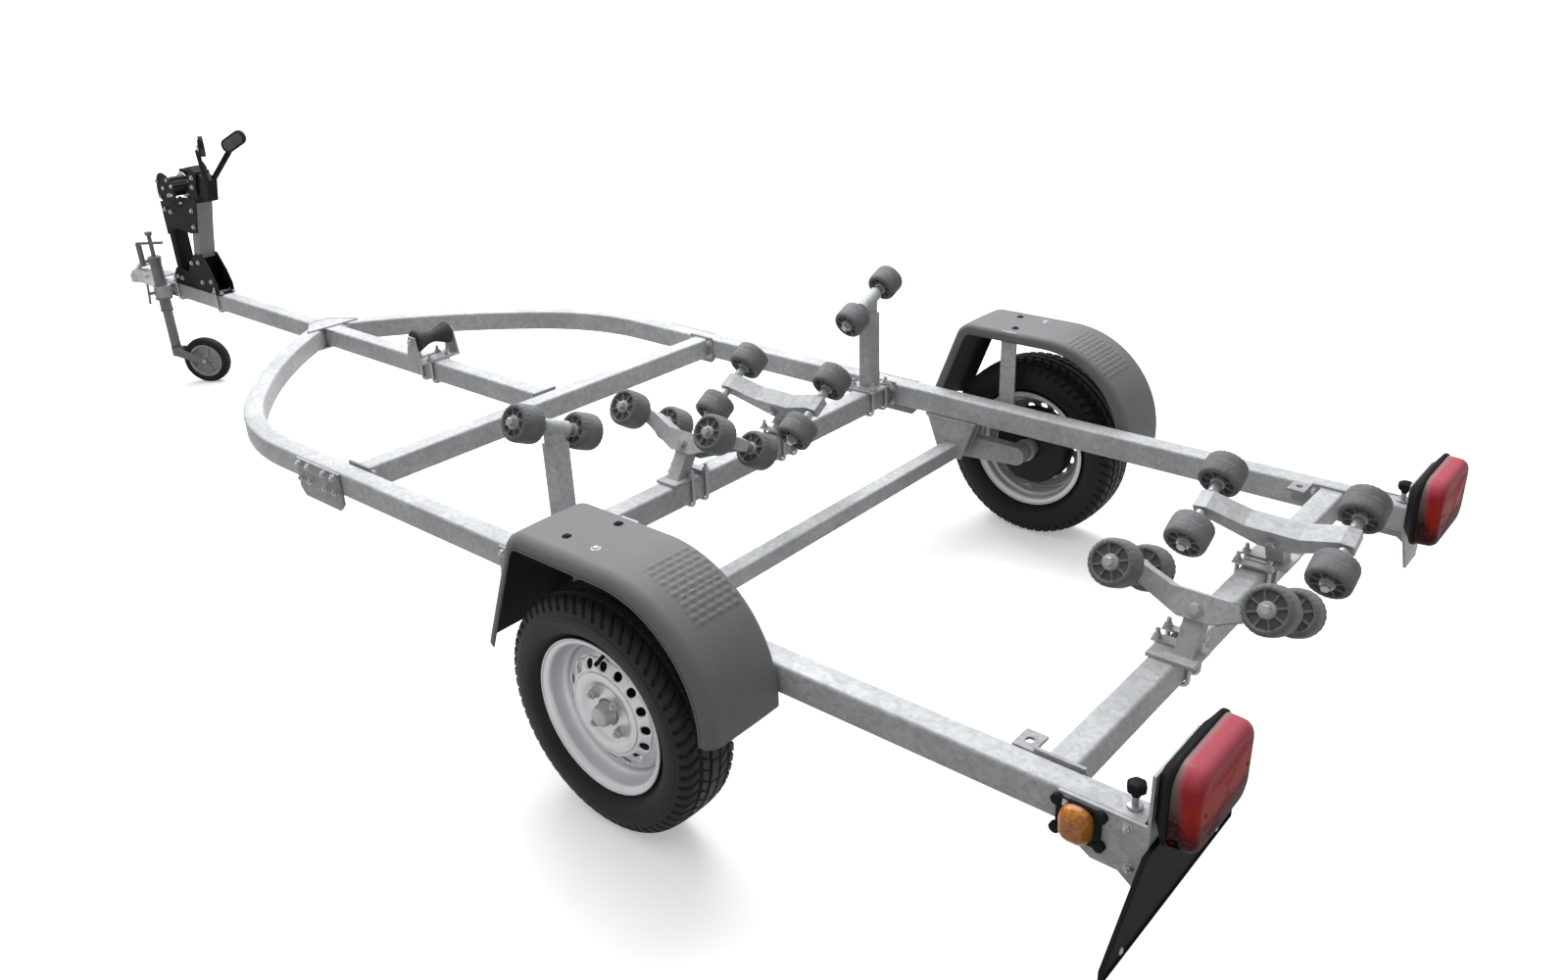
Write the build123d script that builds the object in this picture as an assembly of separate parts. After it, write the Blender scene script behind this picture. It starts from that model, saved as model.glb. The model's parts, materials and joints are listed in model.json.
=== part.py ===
from build123d import *
import os
from math import cos, radians, sin, tan

# A boat trailer with a bolted galvanised frame. Millimetres; +X is the
# trailer's left, +Y points rearwards and +Z up. Heights are above the ground
# and distances along Y are measured from the wheel axis. save() then moves
# each piece along Y, so that the origin lies on the ground under the middle
# of the whole trailer.

os.makedirs("parts", exist_ok=True)

# ---------------------------------------------------------------- main sizes

# frame tubes
tube_w = 60.0            # width of every frame tube
tube_h = 70.0            # height of every frame tube
tube_wall = 4.0
tube_corner = 8.0        # outside corner radius
frame_top = 448.0        # top face of the frame above the ground
rail_outer_x = 755.0     # outer face of a side rail
rail_rear_y = 1126.0     # rear end of a side rail
bend_start_y = -1582.0   # where a side rail starts to turn in
bend_r = 725.0
bend_deg = 34.0
nose_r = 2050.0          # the long gentle bend that leads to the drawbar
nose_deg = 22.0
drawbar_front_y = -3862.0
front_beam_y = -1244.0
middle_beam_y = -452.0
rear_beam_y = 938.0
plate_t = 8.0            # bracket plates
inner_plate_w = 100.0    # plates on the crossbeams' ends
inner_plate_h = 84.0
outer_plate_h = 115.0    # plates that clamp a rail from outside
outer_plate_top = 446.0

# wheels and axle
tyre_r = 281.0
tyre_w = 160.0
wheel_x = rail_outer_x + 131.0   # middle plane of a wheel
rim_seat_r = 165.1       # 13 inch rim
rim_half_w = 57.0
rim_sheet = 3.5
disc_sheet = 4.0
disc_face = 34.0         # outer face of the disc, outboard of the middle plane
bolt_circle = 100.0
bolt_count = 4
stub_r = 15.0
axle_side = 50.0         # square axle tube
axle_wall = 5.0
axle_y = -200.0          # axle tube, ahead of the wheels
axle_z = 272.0
axle_half = rail_outer_x - 13.0
arm_t = 34.0             # thickness of a swing arm

# mudguards
guard_w = 213.0
guard_gap = 4.0          # from the rail to the inner side of a mudguard
guard_sheet = 3.0
guard_lip = 30.0
guard_foot_z = 362.0
guard_top = 667.0        # flat top
guard_front_y = -217.0   # corner where the top meets the leaning front
guard_rear_y = 356.0     # upright rear end
guard_lean = 22.0        # lean of the front, from upright
guard_front_r = 62.0
guard_rear_r = 285.0     # the long curve behind the top

# jockey wheel
jockey_x = 82.0
jockey_y = -3722.0
jockey_swivel = 38.0     # castor angle at rest, from straight back
jockey_trail = 126.0
jockey_r = 100.0
jockey_w = 46.0
leg_r = 20.4
leg_low = 170.0
leg_top = 405.0
jockey_tube_low = 325.0
jockey_tube_top = 552.0

# coupling
ball_y = -4112.0
ball_z = 400.0
ball_r = 25.0
ball_play = 0.3
cup_wall = 17.0

# winch stand
stand_lean = 18.0        # the column leans rearwards
stand_rear_y = -3440.0   # rear face of the column at the top of the drawbar
stand_depth = 58.0
stand_top = 950.0
strut_y = -3638.0        # front face of the strut ahead of the column
strut_depth = 40.0
carrier_low = 700.0      # plates that join the strut and the column
carrier_top = 800.0
winch_y = -3545.0        # drum axis
winch_z = 866.0
winch_half = 50.0        # middle of the winch to a side plate's outer face
winch_out = 60.0         # drum axis above the winch's foot
drum_r = 52.0
pinion_y = 30.0          # crank shaft, below the drum axis
pinion_z = 66.0          # and behind it
crank_rise = 23.0        # the crank points forwards and up by this angle
stop_y = -3092.0         # middle of the bow stop pads
stop_z = 1072.0
stop_x = 56.0
stop_splay = 25.0
stop_pitch = 28.0
pad_t = 18.0

# boat supports
keel_y = -1864.0
keel_z = 525.0
keel_half = 68.0
pair_half = 92.0         # middle of the axle to the middle of each twin roller
cradle_roller_r = 50.0
post_roller_r = 46.0
roller_w = 66.0
pin_r = 8.0
rocker_half = 155.0      # pivot to roller axle, along Y
pivot_drop = 45.0        # roller axes above the rocker's pivot
rocker_half_w = 25.0
rocker_sheet = 5.0
post_x = 622.0
post_side = 45.0
post_top = 690.0
post_axle_z = 728.0
post_tilt = 24.0

# lamps
lamp_x = 657.0
lamp_z = 502.0
lamp_w = 244.0
lamp_h = 176.0
lamp_corner = 50.0
board_t = 6.0
lash_t = 6.0             # lashing angles on the rails' inner sides
lash_r = 9.0
lash_x = 668.0
lash_half = 22.0         # half the angle's length
housing_depth = 30.0
marker_y = rail_rear_y - 111.0   # side markers on the lamp brackets' cheeks
marker_z = 402.0
lens_depth = 50.0
bracket_rear_y = rail_rear_y + 14.0
clamp_y = rail_rear_y - 31.0     # clamping screws at the rails' rear ends
plate_low = 242.0        # number plate board
plate_half = 257.0

rocker_swing = 15.0      # degrees each way

# clearances
running = 0.08           # radial, every pin in its bore
slide_play = 0.1         # radial, jockey leg in its tube
side_play = 1.0          # across a pivot

# ------------------------------------------------------------- worked out

frame_low = frame_top - tube_h
frame_mid = frame_top - tube_h / 2
rail_x = rail_outer_x - tube_w / 2
rail_inner_x = rail_outer_x - tube_w
nose_end_y = (bend_start_y + (nose_r - bend_r) * sin(radians(bend_deg))
              - nose_r * sin(radians(bend_deg + nose_deg)))
nose_end_x = (rail_x - bend_r * (1 - cos(radians(bend_deg)))
              - nose_r * (cos(radians(bend_deg)) - cos(radians(bend_deg + nose_deg))))
nose_left = nose_end_x - tube_w / 2      # from the nose's end across to the drawbar's side
joint_y = nose_end_y - nose_left / tan(radians(bend_deg + nose_deg))
guard_x = rail_outer_x + guard_gap
coupling_nose_y = ball_y - ball_r - cup_wall
lash_y = rear_beam_y - inner_plate_w / 2 - lash_half - 1
lamp_rear_y = bracket_rear_y + housing_depth + lens_depth
origin_y = (coupling_nose_y + lamp_rear_y) / 2


# cradle name: beam y, pivot behind the beam's middle, rocker x, roller axis z, tilt
cradles = {
    "middle": (middle_beam_y, 0.0, 162.0, 568.0, 32.0),
    "rear": (rear_beam_y, 32.0, 182.0, 575.0, 27.0),
}


# ------------------------------------------------------------------ helpers

def save(node, *shapes):
    """Write one node, moved so that the origin is under the middle."""
    solids = [solid for shape in shapes for solid in shape.solids()]
    moved = [Pos(0, -origin_y, 0) * solid for solid in solids]
    export_step(moved[0] if len(moved) == 1 else Compound(moved), f"parts/{node}.step")


def block(x0, x1, y0, y1, z0, z1):
    """Plain block between two corners."""
    middle = Pos((x0 + x1) / 2, (y0 + y1) / 2, (z0 + z1) / 2)
    return middle * Box(x1 - x0, y1 - y0, z1 - z0)


def rod(radius, start, end):
    """Round bar from one point to another."""
    line = Vector(*end) - Vector(*start)
    base = Plane(origin=start, z_dir=line)
    return extrude(base * Circle(radius), line.length)


def side_plate(points, x0, x1):
    """Flat plate from an outline of (y, z) points, between two x values."""
    face = make_face(Plane.YZ * Polyline(*points, close=True))
    return Pos(x0, 0, 0) * extrude(face, x1 - x0, dir=(1, 0, 0))


def cross_plate(points, y0, y1):
    """Flat plate from an outline of (x, z) points, between two y values."""
    base = Plane(origin=(0, y0, 0), x_dir=(1, 0, 0), z_dir=(0, -1, 0))
    face = make_face(base * Polyline(*points, close=True))
    return extrude(face, y1 - y0, dir=(0, 1, 0))


def tube_section(plane, width, height, wall, corner):
    """Hollow rectangular section with rounded corners."""
    outer = RectangleRounded(width, height, corner)
    inner = RectangleRounded(width - 2 * wall, height - 2 * wall, corner - wall)
    return plane * (outer - inner)


def sheet_ring(points, thickness):
    """Turn a thin sheet about the X axis; points are (x, radius) of its middle."""
    wall = offset(Polyline(*points), amount=thickness / 2, kind=Kind.INTERSECTION)
    return revolve(make_face(wall.edges()), axis=Axis.X)


def turned(points):
    """Solid turned about the X axis from a closed outline of (x, radius) points."""
    return revolve(make_face(Polyline(*points, close=True)), axis=Axis.X)


def mirrored_outline(points):
    """Closed outline from the half with positive x, listed from the bottom to the top."""
    return points + [(-x, radius) for x, radius in reversed(points)]


def both(shape):
    """A left piece with its mirror image on the right."""
    return shape, mirror(shape, about=Plane.YZ)


def tilted(x, y, z, tilt):
    """Place for a left piece whose own X axis points outwards and up by tilt degrees."""
    return Pos(x, y, z) * Rot(0, -tilt, 0)


# -------------------------------------------------------------------- frame

def side_rail():
    """Left rail: straight, then two bends that bring it to the drawbar's side."""
    start = (rail_x, rail_rear_y, frame_mid)
    straight = Line(start, (rail_x, bend_start_y, frame_mid))
    bend = JernArc(straight @ 1, straight % 1, bend_r, -bend_deg)
    nose = JernArc(bend @ 1, bend % 1, nose_r, -nose_deg)
    lead_in = Line(nose @ 1, nose @ 1 + (nose % 1) * (nose_left / sin(radians(bend_deg + nose_deg)) + 2 * tube_w))
    section_plane = Plane(origin=start, x_dir=(1, 0, 0), z_dir=(0, -1, 0))
    section = tube_section(section_plane, tube_w, tube_h, tube_wall, tube_corner)
    rail = sweep(section, path=straight + bend + nose + lead_in)
    end = nose @ 1
    past_drawbar = block(-rail_x, tube_w / 2, end.Y - rail_x, end.Y + rail_x, 0, 2 * frame_top)
    return rail - past_drawbar


def crossbeam(y):
    """Tube between the plates on the rails' inner faces."""
    half = rail_inner_x - plate_t
    plane = Plane(origin=(-half, y, frame_mid), x_dir=(0, 1, 0), z_dir=(1, 0, 0))
    return extrude(tube_section(plane, tube_w, tube_h, tube_wall, tube_corner), 2 * half)


def drawbar():
    """Middle tube from the coupling back to the plate on the front crossbeam."""
    rear = front_beam_y - tube_w / 2 - plate_t
    plane = Plane(origin=(0, drawbar_front_y, frame_mid), x_dir=(1, 0, 0), z_dir=(0, 1, 0))
    section = tube_section(plane, tube_w, tube_h, tube_wall, tube_corner)
    return extrude(section, rear - drawbar_front_y)


def inner_plate(y):
    """Plate on a crossbeam's left end, against the rail's inner face."""
    half = inner_plate_w / 2
    low = frame_mid - inner_plate_h / 2
    return block(rail_inner_x - plate_t, rail_inner_x, y - half, y + half, low, low + inner_plate_h)


def outer_plate(y, length):
    """Plate with cut lower corners on the left rail's outer face."""
    front = y - length / 2
    rear = y + length / 2
    low = outer_plate_top - outer_plate_h
    outline = (
        (front, outer_plate_top), (rear, outer_plate_top), (rear, low + 22), (rear - 22, low),
        (front + 22, low), (front, low + 22),
    )
    return side_plate(outline, rail_outer_x, rail_outer_x + plate_t)


def beam_brackets():
    """All the plates of the three crossbeams, and the drawbar's rear plate."""
    plates = []
    for y in (front_beam_y, middle_beam_y, rear_beam_y):
        plates += both(inner_plate(y))
    # middle of the outer plate, its length
    for y, length in ((front_beam_y - 110, 220.0), (middle_beam_y, 180.0)):
        plates += both(outer_plate(y, length))
    rear = front_beam_y - tube_w / 2
    half = inner_plate_w / 2 - 5
    low = frame_mid - inner_plate_h / 2
    plates.append(block(-half, half, rear - plate_t, rear, low, low + inner_plate_h))
    return plates


def lashing_angle():
    """Left angle behind the rear crossbeam's plate, with a hole for a lashing."""
    front = lash_y - lash_half
    rear = lash_y + lash_half
    top = block(rail_inner_x - 55, rail_inner_x, front, rear, frame_top - lash_t, frame_top)
    side = block(rail_inner_x - lash_t, rail_inner_x, front, rear, frame_top - 50, frame_top)
    hole = rod(lash_r, (lash_x, lash_y, frame_top - 2 * lash_t), (lash_x, lash_y, frame_top + 1))
    return top + side - hole


def drawbar_gussets():
    """Plates above and below the joint of the rails and the drawbar."""
    front = joint_y - 50
    rear = joint_y + 52
    outline = Polyline((-34, front), (34, front), (105, rear), (-105, rear), close=True)
    plate = extrude(make_face(outline), 6.0, dir=(0, 0, 1))
    return [Pos(0, 0, frame_top) * plate, Pos(0, 0, frame_low - 6.0) * plate]


# --------------------------------------------------------- axle and wheels

def axle_tube():
    plane = Plane(origin=(-axle_half, axle_y, axle_z), x_dir=(0, 1, 0), z_dir=(1, 0, 0))
    return extrude(tube_section(plane, axle_side, axle_side, axle_wall, 6.0), 2 * axle_half)


def axle_bracket():
    """Saddle that hangs the axle tube under the left rail."""
    low = axle_z - axle_side / 2
    cap = block(rail_inner_x, rail_outer_x, axle_y - 90, axle_y + 90, frame_low - plate_t, frame_low)
    cheek_outline = (
        (axle_y - 85, frame_low - plate_t), (axle_y + 85, frame_low - plate_t),
        (axle_y + 38, low), (axle_y - 38, low),
    )
    inner_cheek = side_plate(cheek_outline, rail_inner_x + 4, rail_inner_x + 10)
    outer_cheek = side_plate(cheek_outline, rail_outer_x - 22, rail_outer_x - 16)
    side = axle_side / 2
    tube_room = block(0, 2 * rail_x, axle_y - side, axle_y + side, low, axle_z + side)
    return cap + inner_cheek + outer_cheek - tube_room


def swing_arm():
    """Left trailing arm: torsion bar end, forged arm and stub axle."""
    arm_in = axle_half + 10
    arm_out = arm_in + arm_t
    outline = make_hull(
        (Pos(axle_y, axle_z) * Circle(36)).edges() + (Pos(0, tyre_r) * Circle(29)).edges()
    )
    arm = Pos(arm_in, 0, 0) * extrude(Plane.YZ * outline, arm_t, dir=(1, 0, 0))
    bar = rod(18, (axle_half - 25, axle_y, axle_z), (arm_in, axle_y, axle_z))
    shoulder = rod(22, (arm_out, 0, tyre_r), (arm_out + 6, 0, tyre_r))
    stub = rod(stub_r, (arm_out, 0, tyre_r), (wheel_x + 6, 0, tyre_r))
    return arm + bar + shoulder + stub


def hub():
    """Hub on the X axis, x from the wheel's middle plane: barrel, flange, studs and cap."""
    face = disc_face - disc_sheet
    body = turned([
        (-84, 0), (-84, 34), (-66, 34), (-60, 28), (face - 26, 30), (face - 12, 40), (face - 12, 68),
        (face, 68), (face, 28), (face + 10, 28), (face + 10, 25), (face + 26, 23), (face + 30, 18),
        (face + 30, 0),
    ])
    body -= rod(stub_r + running, (-90, 0, 0), (9, 0, 0))
    nut = extrude(Plane.YZ * RegularPolygon(11, 6), 13)
    stud = rod(6, (face, 0, 0), (face + 22, 0, 0)) + Pos(disc_face, 0, 0) * nut
    for turn in range(bolt_count):
        angle = radians(45 + 360 / bolt_count * turn)
        body += Pos(0, bolt_circle / 2 * cos(angle), bolt_circle / 2 * sin(angle)) * stud
    return body


def rim():
    """Pressed steel wheel on the X axis: barrel with drop centre, and a vented disc."""
    lip = rim_seat_r + 17.5
    barrel = sheet_ring((
        (-rim_half_w - 6, lip), (-rim_half_w, lip - 3), (-rim_half_w + 2, rim_seat_r + 1),
        (-38, rim_seat_r - 1), (-28, rim_seat_r - 15), (10, rim_seat_r - 15), (24, rim_seat_r - 1),
        (rim_half_w - 2, rim_seat_r + 1), (rim_half_w, lip - 3), (rim_half_w + 6, lip),
    ), rim_sheet)
    mid = disc_face - disc_sheet / 2
    disc = sheet_ring((
        (mid, 30.6), (mid, 62), (mid + 8, 78), (mid + 8, 98), (mid - 6, 128),
        (mid - 16, rim_seat_r - 19), (-2, rim_seat_r - 16.5),
    ), disc_sheet)
    wheel = barrel + disc
    for turn in range(16):
        angle = radians(360 / 16 * turn)
        wheel -= rod(9, (0, 113 * cos(angle), 113 * sin(angle)), (60, 113 * cos(angle), 113 * sin(angle)))
    for turn in range(bolt_count):
        angle = radians(45 + 360 / bolt_count * turn)
        y = bolt_circle / 2 * cos(angle)
        z = bolt_circle / 2 * sin(angle)
        wheel -= rod(6.5, (0, y, z), (60, y, z))
    return wheel


def tyre():
    """Tyre on the X axis: a C-shaped carcass that is open towards the rim."""
    bead = rim_half_w - 5
    half = tyre_w / 2
    seat = rim_seat_r + 3.2
    lip = rim_seat_r + 23
    drawn_h = 92.9                       # height of the sidewall that the points are drawn for
    rise = (tyre_r - lip) / drawn_h
    carcass = turned(mirrored_outline([
        (bead, seat), (bead, lip), (half - 8, lip + 12 * rise), (half, lip + 34 * rise),
        (half - 2, lip + 52 * rise), (half - 9, tyre_r - 18 * rise), (half - 18, tyre_r - 5),
        (half - 36, tyre_r - 1.5), (16, tyre_r),
    ]))
    cavity = turned(mirrored_outline([
        (bead - 14, seat - 1), (bead - 10, lip + 6 * rise), (half - 16, lip + 18 * rise),
        (half - 10, lip + 36 * rise), (half - 14, lip + 52 * rise), (half - 24, tyre_r - 22 * rise),
        (half - 40, tyre_r - 14),
    ]))
    return carcass - cavity


def at_wheel(shape):
    return Pos(wheel_x, 0, tyre_r) * shape


# ----------------------------------------------------------------- mudguards

def guard_arch(drop):
    """Outline in (y, z) of a mudguard, moved inwards by drop; its feet run on down."""
    low = guard_foot_z - 100
    front_low_y = guard_front_y - (guard_top - low) * tan(radians(guard_lean))
    path = FilletPolyline(
        (front_low_y, low), (guard_front_y, guard_top), (guard_rear_y, guard_top), (guard_rear_y, low),
        radius=[guard_front_r, guard_rear_r],
    )
    arch = make_face(path + Line(path @ 1, path @ 0))
    if drop == 0:
        return arch
    inner = offset(arch, amount=-drop, kind=Kind.INTERSECTION)
    return inner + Pos(0, -2 * drop) * inner


def mudguard():
    """Left mudguard: a curved sheet with a turned-down lip on each side."""
    across = (1, 0, 0)
    skin, inside, below_lips = [Plane.YZ * guard_arch(drop) for drop in (0, guard_sheet, guard_lip)]
    guard = extrude(skin, guard_w, dir=across)
    guard -= Pos(guard_sheet, 0, 0) * extrude(inside, guard_w - 2 * guard_sheet, dir=across)
    guard -= Pos(-1, 0, 0) * extrude(below_lips, guard_w + 2, dir=across)
    guard -= block(-1, guard_w + 1, -600, 600, 0, guard_foot_z)
    return Pos(guard_x, 0, 0) * guard


def guard_stay():
    """Bent strap from the left rail to the underside of the mudguard's crown."""
    front = -71.0
    rear = -21.0
    crown = guard_top - guard_sheet - 0.2
    foot_z = frame_top - 60
    inner = guard_x + guard_sheet + 2
    stay = block(inner, inner + 6, front, rear, foot_z, crown)
    stay += block(inner, guard_x + guard_w - 40, front, rear, crown - 6, crown)
    return stay + block(rail_outer_x, inner, front, rear, foot_z, frame_top - 10)


# ----------------------------------------------------- coupling and jockey

def coupling_head():
    """Pressed coupling: ball cup, tapering neck that is open below, and a sleeve over the drawbar."""
    cup_r = ball_r + cup_wall
    top = ball_z + ball_r + 10
    low = ball_z - 16
    rear = drawbar_front_y - 6
    plan = Polyline((-36, rear), (-28, rear - 70), (-24, ball_y + 60), (-34, ball_y), (34, ball_y),
                    (24, ball_y + 60), (28, rear - 70), (36, rear), close=True)
    neck = Pos(0, 0, low) * extrude(make_face(plan), frame_top + 6 - low, dir=(0, 0, 1))
    side = ((rear, low - 10), (rear, frame_top + 6), (rear - 60, frame_top + 4), (ball_y + 40, top + 6),
            (ball_y - 10, top), (ball_y - 10, low - 10))
    neck &= side_plate(side, -60, 60)
    inner_plan = Polyline((-31, rear + 1), (-23, rear - 70), (-19, ball_y + 56), (19, ball_y + 56),
                          (23, rear - 70), (31, rear + 1), close=True)
    neck -= Pos(0, 0, low - 1) * extrude(make_face(inner_plan), top - low - 4, dir=(0, 0, 1))
    cup = turned([(low, 0), (low, cup_r), (ball_z + 10, cup_r), (ball_z + 28, cup_r - 10), (top + 4, cup_r - 26),
                  (top + 4, 0)])
    cup = Pos(0, ball_y, 0) * Rot(0, -90, 0) * cup
    sleeve = block(-36, 36, rear, drawbar_front_y + 50, frame_low + 15, frame_top + 6)
    sleeve -= block(-tube_w / 2, tube_w / 2, drawbar_front_y, drawbar_front_y + 60, 0, frame_top)
    bore = ball_r + ball_play
    socket = turned([(low - 20, 0), (low - 20, bore), (ball_z, bore), (ball_z + 15, 0.8 * bore),
                     (ball_z + bore, 0.35 * bore), (ball_z + bore, 0)])
    return neck + sleeve + cup - Pos(0, ball_y, 0) * Rot(0, -90, 0) * socket


def coupling_lever():
    """Release lever lying above the neck."""
    outline = Polyline(
        (ball_y + 25, ball_z + 46), (ball_y + 70, ball_z + 66), (ball_y + 175, ball_z + 82),
        (ball_y + 178, ball_z + 92), (ball_y + 60, ball_z + 78), (ball_y + 10, ball_z + 52), close=True,
    )
    return Pos(-14, 0, 0) * extrude(make_face(Plane.YZ * outline), 28, dir=(1, 0, 0))


def jockey_clamp():
    """Bracket on the drawbar's left side with the ring that holds the jockey tube."""
    foot = block(tube_w / 2, tube_w / 2 + 8, jockey_y - 30, jockey_y + 30, frame_low + 5, frame_top - 5)
    web = block(tube_w / 2 + 8, jockey_x, jockey_y - 12, jockey_y + 12, frame_mid - 25, frame_mid + 25)
    ring = Pos(jockey_x, jockey_y, frame_mid) * Cylinder(33, 50)
    bore = Pos(jockey_x, jockey_y, frame_mid) * Cylinder(24, 80)
    return foot + web + ring - bore


def jockey_outer_tube():
    """Outer tube with its top cap."""
    height = jockey_tube_top - jockey_tube_low
    tube = Pos(0, 0, jockey_tube_low + height / 2) * (Cylinder(24, height) - Cylinder(leg_r + slide_play, height))
    cap = Pos(0, 0, jockey_tube_top + 6) * Cylinder(27, 12)
    return Pos(jockey_x, jockey_y, 0) * (tube + cap)


def jockey_crank():
    """Winding handle on top of the outer tube."""
    low = jockey_tube_top + 12
    arm_z = low + 58
    shaft = rod(9, (0, 0, low), (0, 0, arm_z + 34)) + rod(15, (0, 0, arm_z + 34), (0, 0, arm_z + 48))
    arm = Pos(0, 0, arm_z) * Rot(0, 0, -50) * block(-50, 62, -8, 8, -5, 5)
    end = Rot(0, 0, -50) * Pos(54, 0, 0)
    grip = end * rod(12, (0, 0, arm_z - 98), (0, 0, arm_z - 5))
    return Pos(jockey_x, jockey_y, 0) * (shaft + arm + grip)


def jockey_leg():
    """Inner tube with the swivel pin at its foot."""
    height = leg_top - leg_low
    tube = Pos(0, 0, leg_low + height / 2) * Cylinder(leg_r, height)
    tube -= Pos(0, 0, leg_low + 12 + height / 2) * Cylinder(leg_r - 3, height)
    pin = rod(9, (0, 0, leg_low - 40), (0, 0, leg_low))
    return Pos(jockey_x, jockey_y, 0) * (tube + pin)


def jockey_place():
    return Pos(jockey_x, jockey_y, 0) * Rot(0, 0, jockey_swivel)


def jockey_fork():
    """Castor fork: swivel head, crown and two trailing cheeks."""
    head = Pos(0, 0, leg_low - 25) * Cylinder(22, 42)
    crown = block(-29, 29, 0, 21, leg_low - 38, leg_low - 12)
    cheek_outline = (
        (5, leg_low - 12), (26, leg_low - 12), (jockey_trail + 14, jockey_r + 10),
        (jockey_trail + 14, jockey_r - 12), (jockey_trail - 12, jockey_r - 14), (5, leg_low - 44),
    )
    fork = head + crown + side_plate(cheek_outline, 24, 29) + side_plate(cheek_outline, -29, -24)
    fork += rod(pin_r, (-32, jockey_trail, jockey_r), (32, jockey_trail, jockey_r))
    fork -= rod(9 + running, (0, 0, leg_low - 42), (0, 0, leg_low))
    return jockey_place() * fork


def jockey_wheel():
    half = jockey_w / 2
    wheel = turned(mirrored_outline([
        (half, pin_r + running), (half, 24), (half - 8, 26), (half - 8, 68), (half, 72),
        (half, jockey_r - 13), (half - 7, jockey_r - 4), (half - 15, jockey_r),
    ]))
    return jockey_place() * Pos(0, jockey_trail, jockey_r) * wheel


# --------------------------------------------------------------- winch stand

def stand_place():
    """Foot of the column's rear face, with its own Z along the column."""
    return Pos(0, stand_rear_y, frame_top) * Rot(-stand_lean, 0, 0)


def winch_stand():
    """Leaning column and upright strut on a foot with two lobes, joined again under the winch."""
    half = tube_w / 2
    wall = 5.0
    length = (stand_top - frame_top) / cos(radians(stand_lean))
    column = block(-half, half, -stand_depth, 0, -60, length)
    column -= block(-half + wall, half - wall, -stand_depth - 1, -wall, -80, length - wall)
    column = stand_place() * column - block(-100, 100, -4200, -3000, 0, frame_top)
    strut = block(-half, half, strut_y, strut_y + strut_depth, frame_top, carrier_top)
    strut -= block(-half + wall, half - wall, strut_y - 1, strut_y + strut_depth - wall, 0, carrier_top - wall)
    foot = block(-half - 8, half + 8, strut_y - 46, stand_rear_y + 142, frame_top, frame_top + 6)
    lobes = (
        (strut_y - 40, frame_top), (stand_rear_y + 138, frame_top),
        (stand_rear_y + 138, frame_top + 42), (stand_rear_y + 112, frame_top + 92),
        (stand_rear_y + 58, frame_top + 160), (stand_rear_y - 10, frame_top + 150),
        (stand_rear_y - 78, frame_top + 84), (strut_y + 110, frame_top + 64), (strut_y + 58, frame_top + 70),
        (strut_y - 4, frame_top + 70), (strut_y - 40, frame_top + 30),
    )
    rear_x = stand_rear_y + (carrier_low - frame_top) * tan(radians(stand_lean))
    carrier = (
        (strut_y - 4, carrier_low - 40), (strut_y + strut_depth + 60, carrier_low),
        (rear_x - 70, carrier_low - 10), (rear_x - 10, carrier_low), (rear_x + 42, carrier_top + 40), (rear_x - 40, carrier_top + 40),
        (winch_y + 100, carrier_top), (strut_y - 4, carrier_top),
    )
    stand = column + strut + foot
    for outline in (lobes, carrier):
        stand += side_plate(outline, half, half + 5) + side_plate(outline, -half - 5, -half)
    return stand + block(-half, half, strut_y, winch_y + 100, carrier_top - wall, carrier_top)


def winch_place():
    """Drum axis; the winch's own Y points down to its foot, and its Z rearwards."""
    return Pos(0, winch_y, winch_z) * Rot(-90, 0, 0)


def winch_frame():
    """Two side plates on a foot plate, with the gear cover outside the right one."""
    sheet = 5.0
    cover = winch_half + 15
    base = block(-winch_half, winch_half, winch_out, winch_z - carrier_top, -62, 90)
    outline = (
        (winch_out, -62), (winch_out, 90), (-10, 90), (-62, 40), (-62, -30), (-10, -62),
    )
    frame = base + side_plate(outline, winch_half - sheet, winch_half)
    frame += side_plate(outline, -winch_half, sheet - winch_half)
    frame += rod(58, (-cover, 0, 0), (-winch_half, 0, 0))
    frame += rod(30, (-cover, pinion_y, pinion_z), (-winch_half, pinion_y, pinion_z))
    frame += rod(14, (sheet - winch_half, pinion_y, pinion_z), (winch_half - sheet, pinion_y, pinion_z))
    frame -= rod(pin_r + running, (-winch_half - 3, 0, 0), (winch_half + 23, 0, 0))
    frame -= rod(pin_r + running, (-cover - 8, pinion_y, pinion_z), (cover + 8, pinion_y, pinion_z))
    return winch_place() * frame


def winch_drum():
    """Drum with its two flanges and the wound strap between them."""
    flange = winch_half - 12
    drum = rod(22, (-flange - 1, 0, 0), (flange + 1, 0, 0))
    drum += rod(pin_r, (1 - winch_half, 0, 0), (winch_half + 5, 0, 0))
    drum += rod(drum_r, (flange - 5, 0, 0), (flange, 0, 0)) + rod(drum_r, (-flange, 0, 0), (5 - flange, 0, 0))
    drum += rod(drum_r - 12, (-26, 0, 0), (26, 0, 0))
    return winch_place() * drum


def winch_crank():
    """Crank on the pinion shaft, outside the gear cover on the right."""
    side = -winch_half - 25
    shaft = rod(pin_r, (side - 12, 0, 0), (winch_half - 1, 0, 0))
    arm = block(side - 10, side, -14, 14, -14, 184)
    grip = rod(8, (side - 28, 0, 170), (side - 10, 0, 170)) + rod(15, (side - 113, 0, 170), (side - 18, 0, 170))
    crank = Rot(90 - crank_rise, 0, 0) * (shaft + arm + grip)
    middle = winch_place() * Pos(0, pinion_y, pinion_z)
    return Pos(middle.position) * crank


def bow_stop_pads():
    """Two rubber pads that open rearwards in a V."""
    pad = extrude(Plane.YZ * RectangleRounded(120, 56, 26), pad_t, dir=(1, 0, 0))
    return both(stop_pad_place() * pad)


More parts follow.
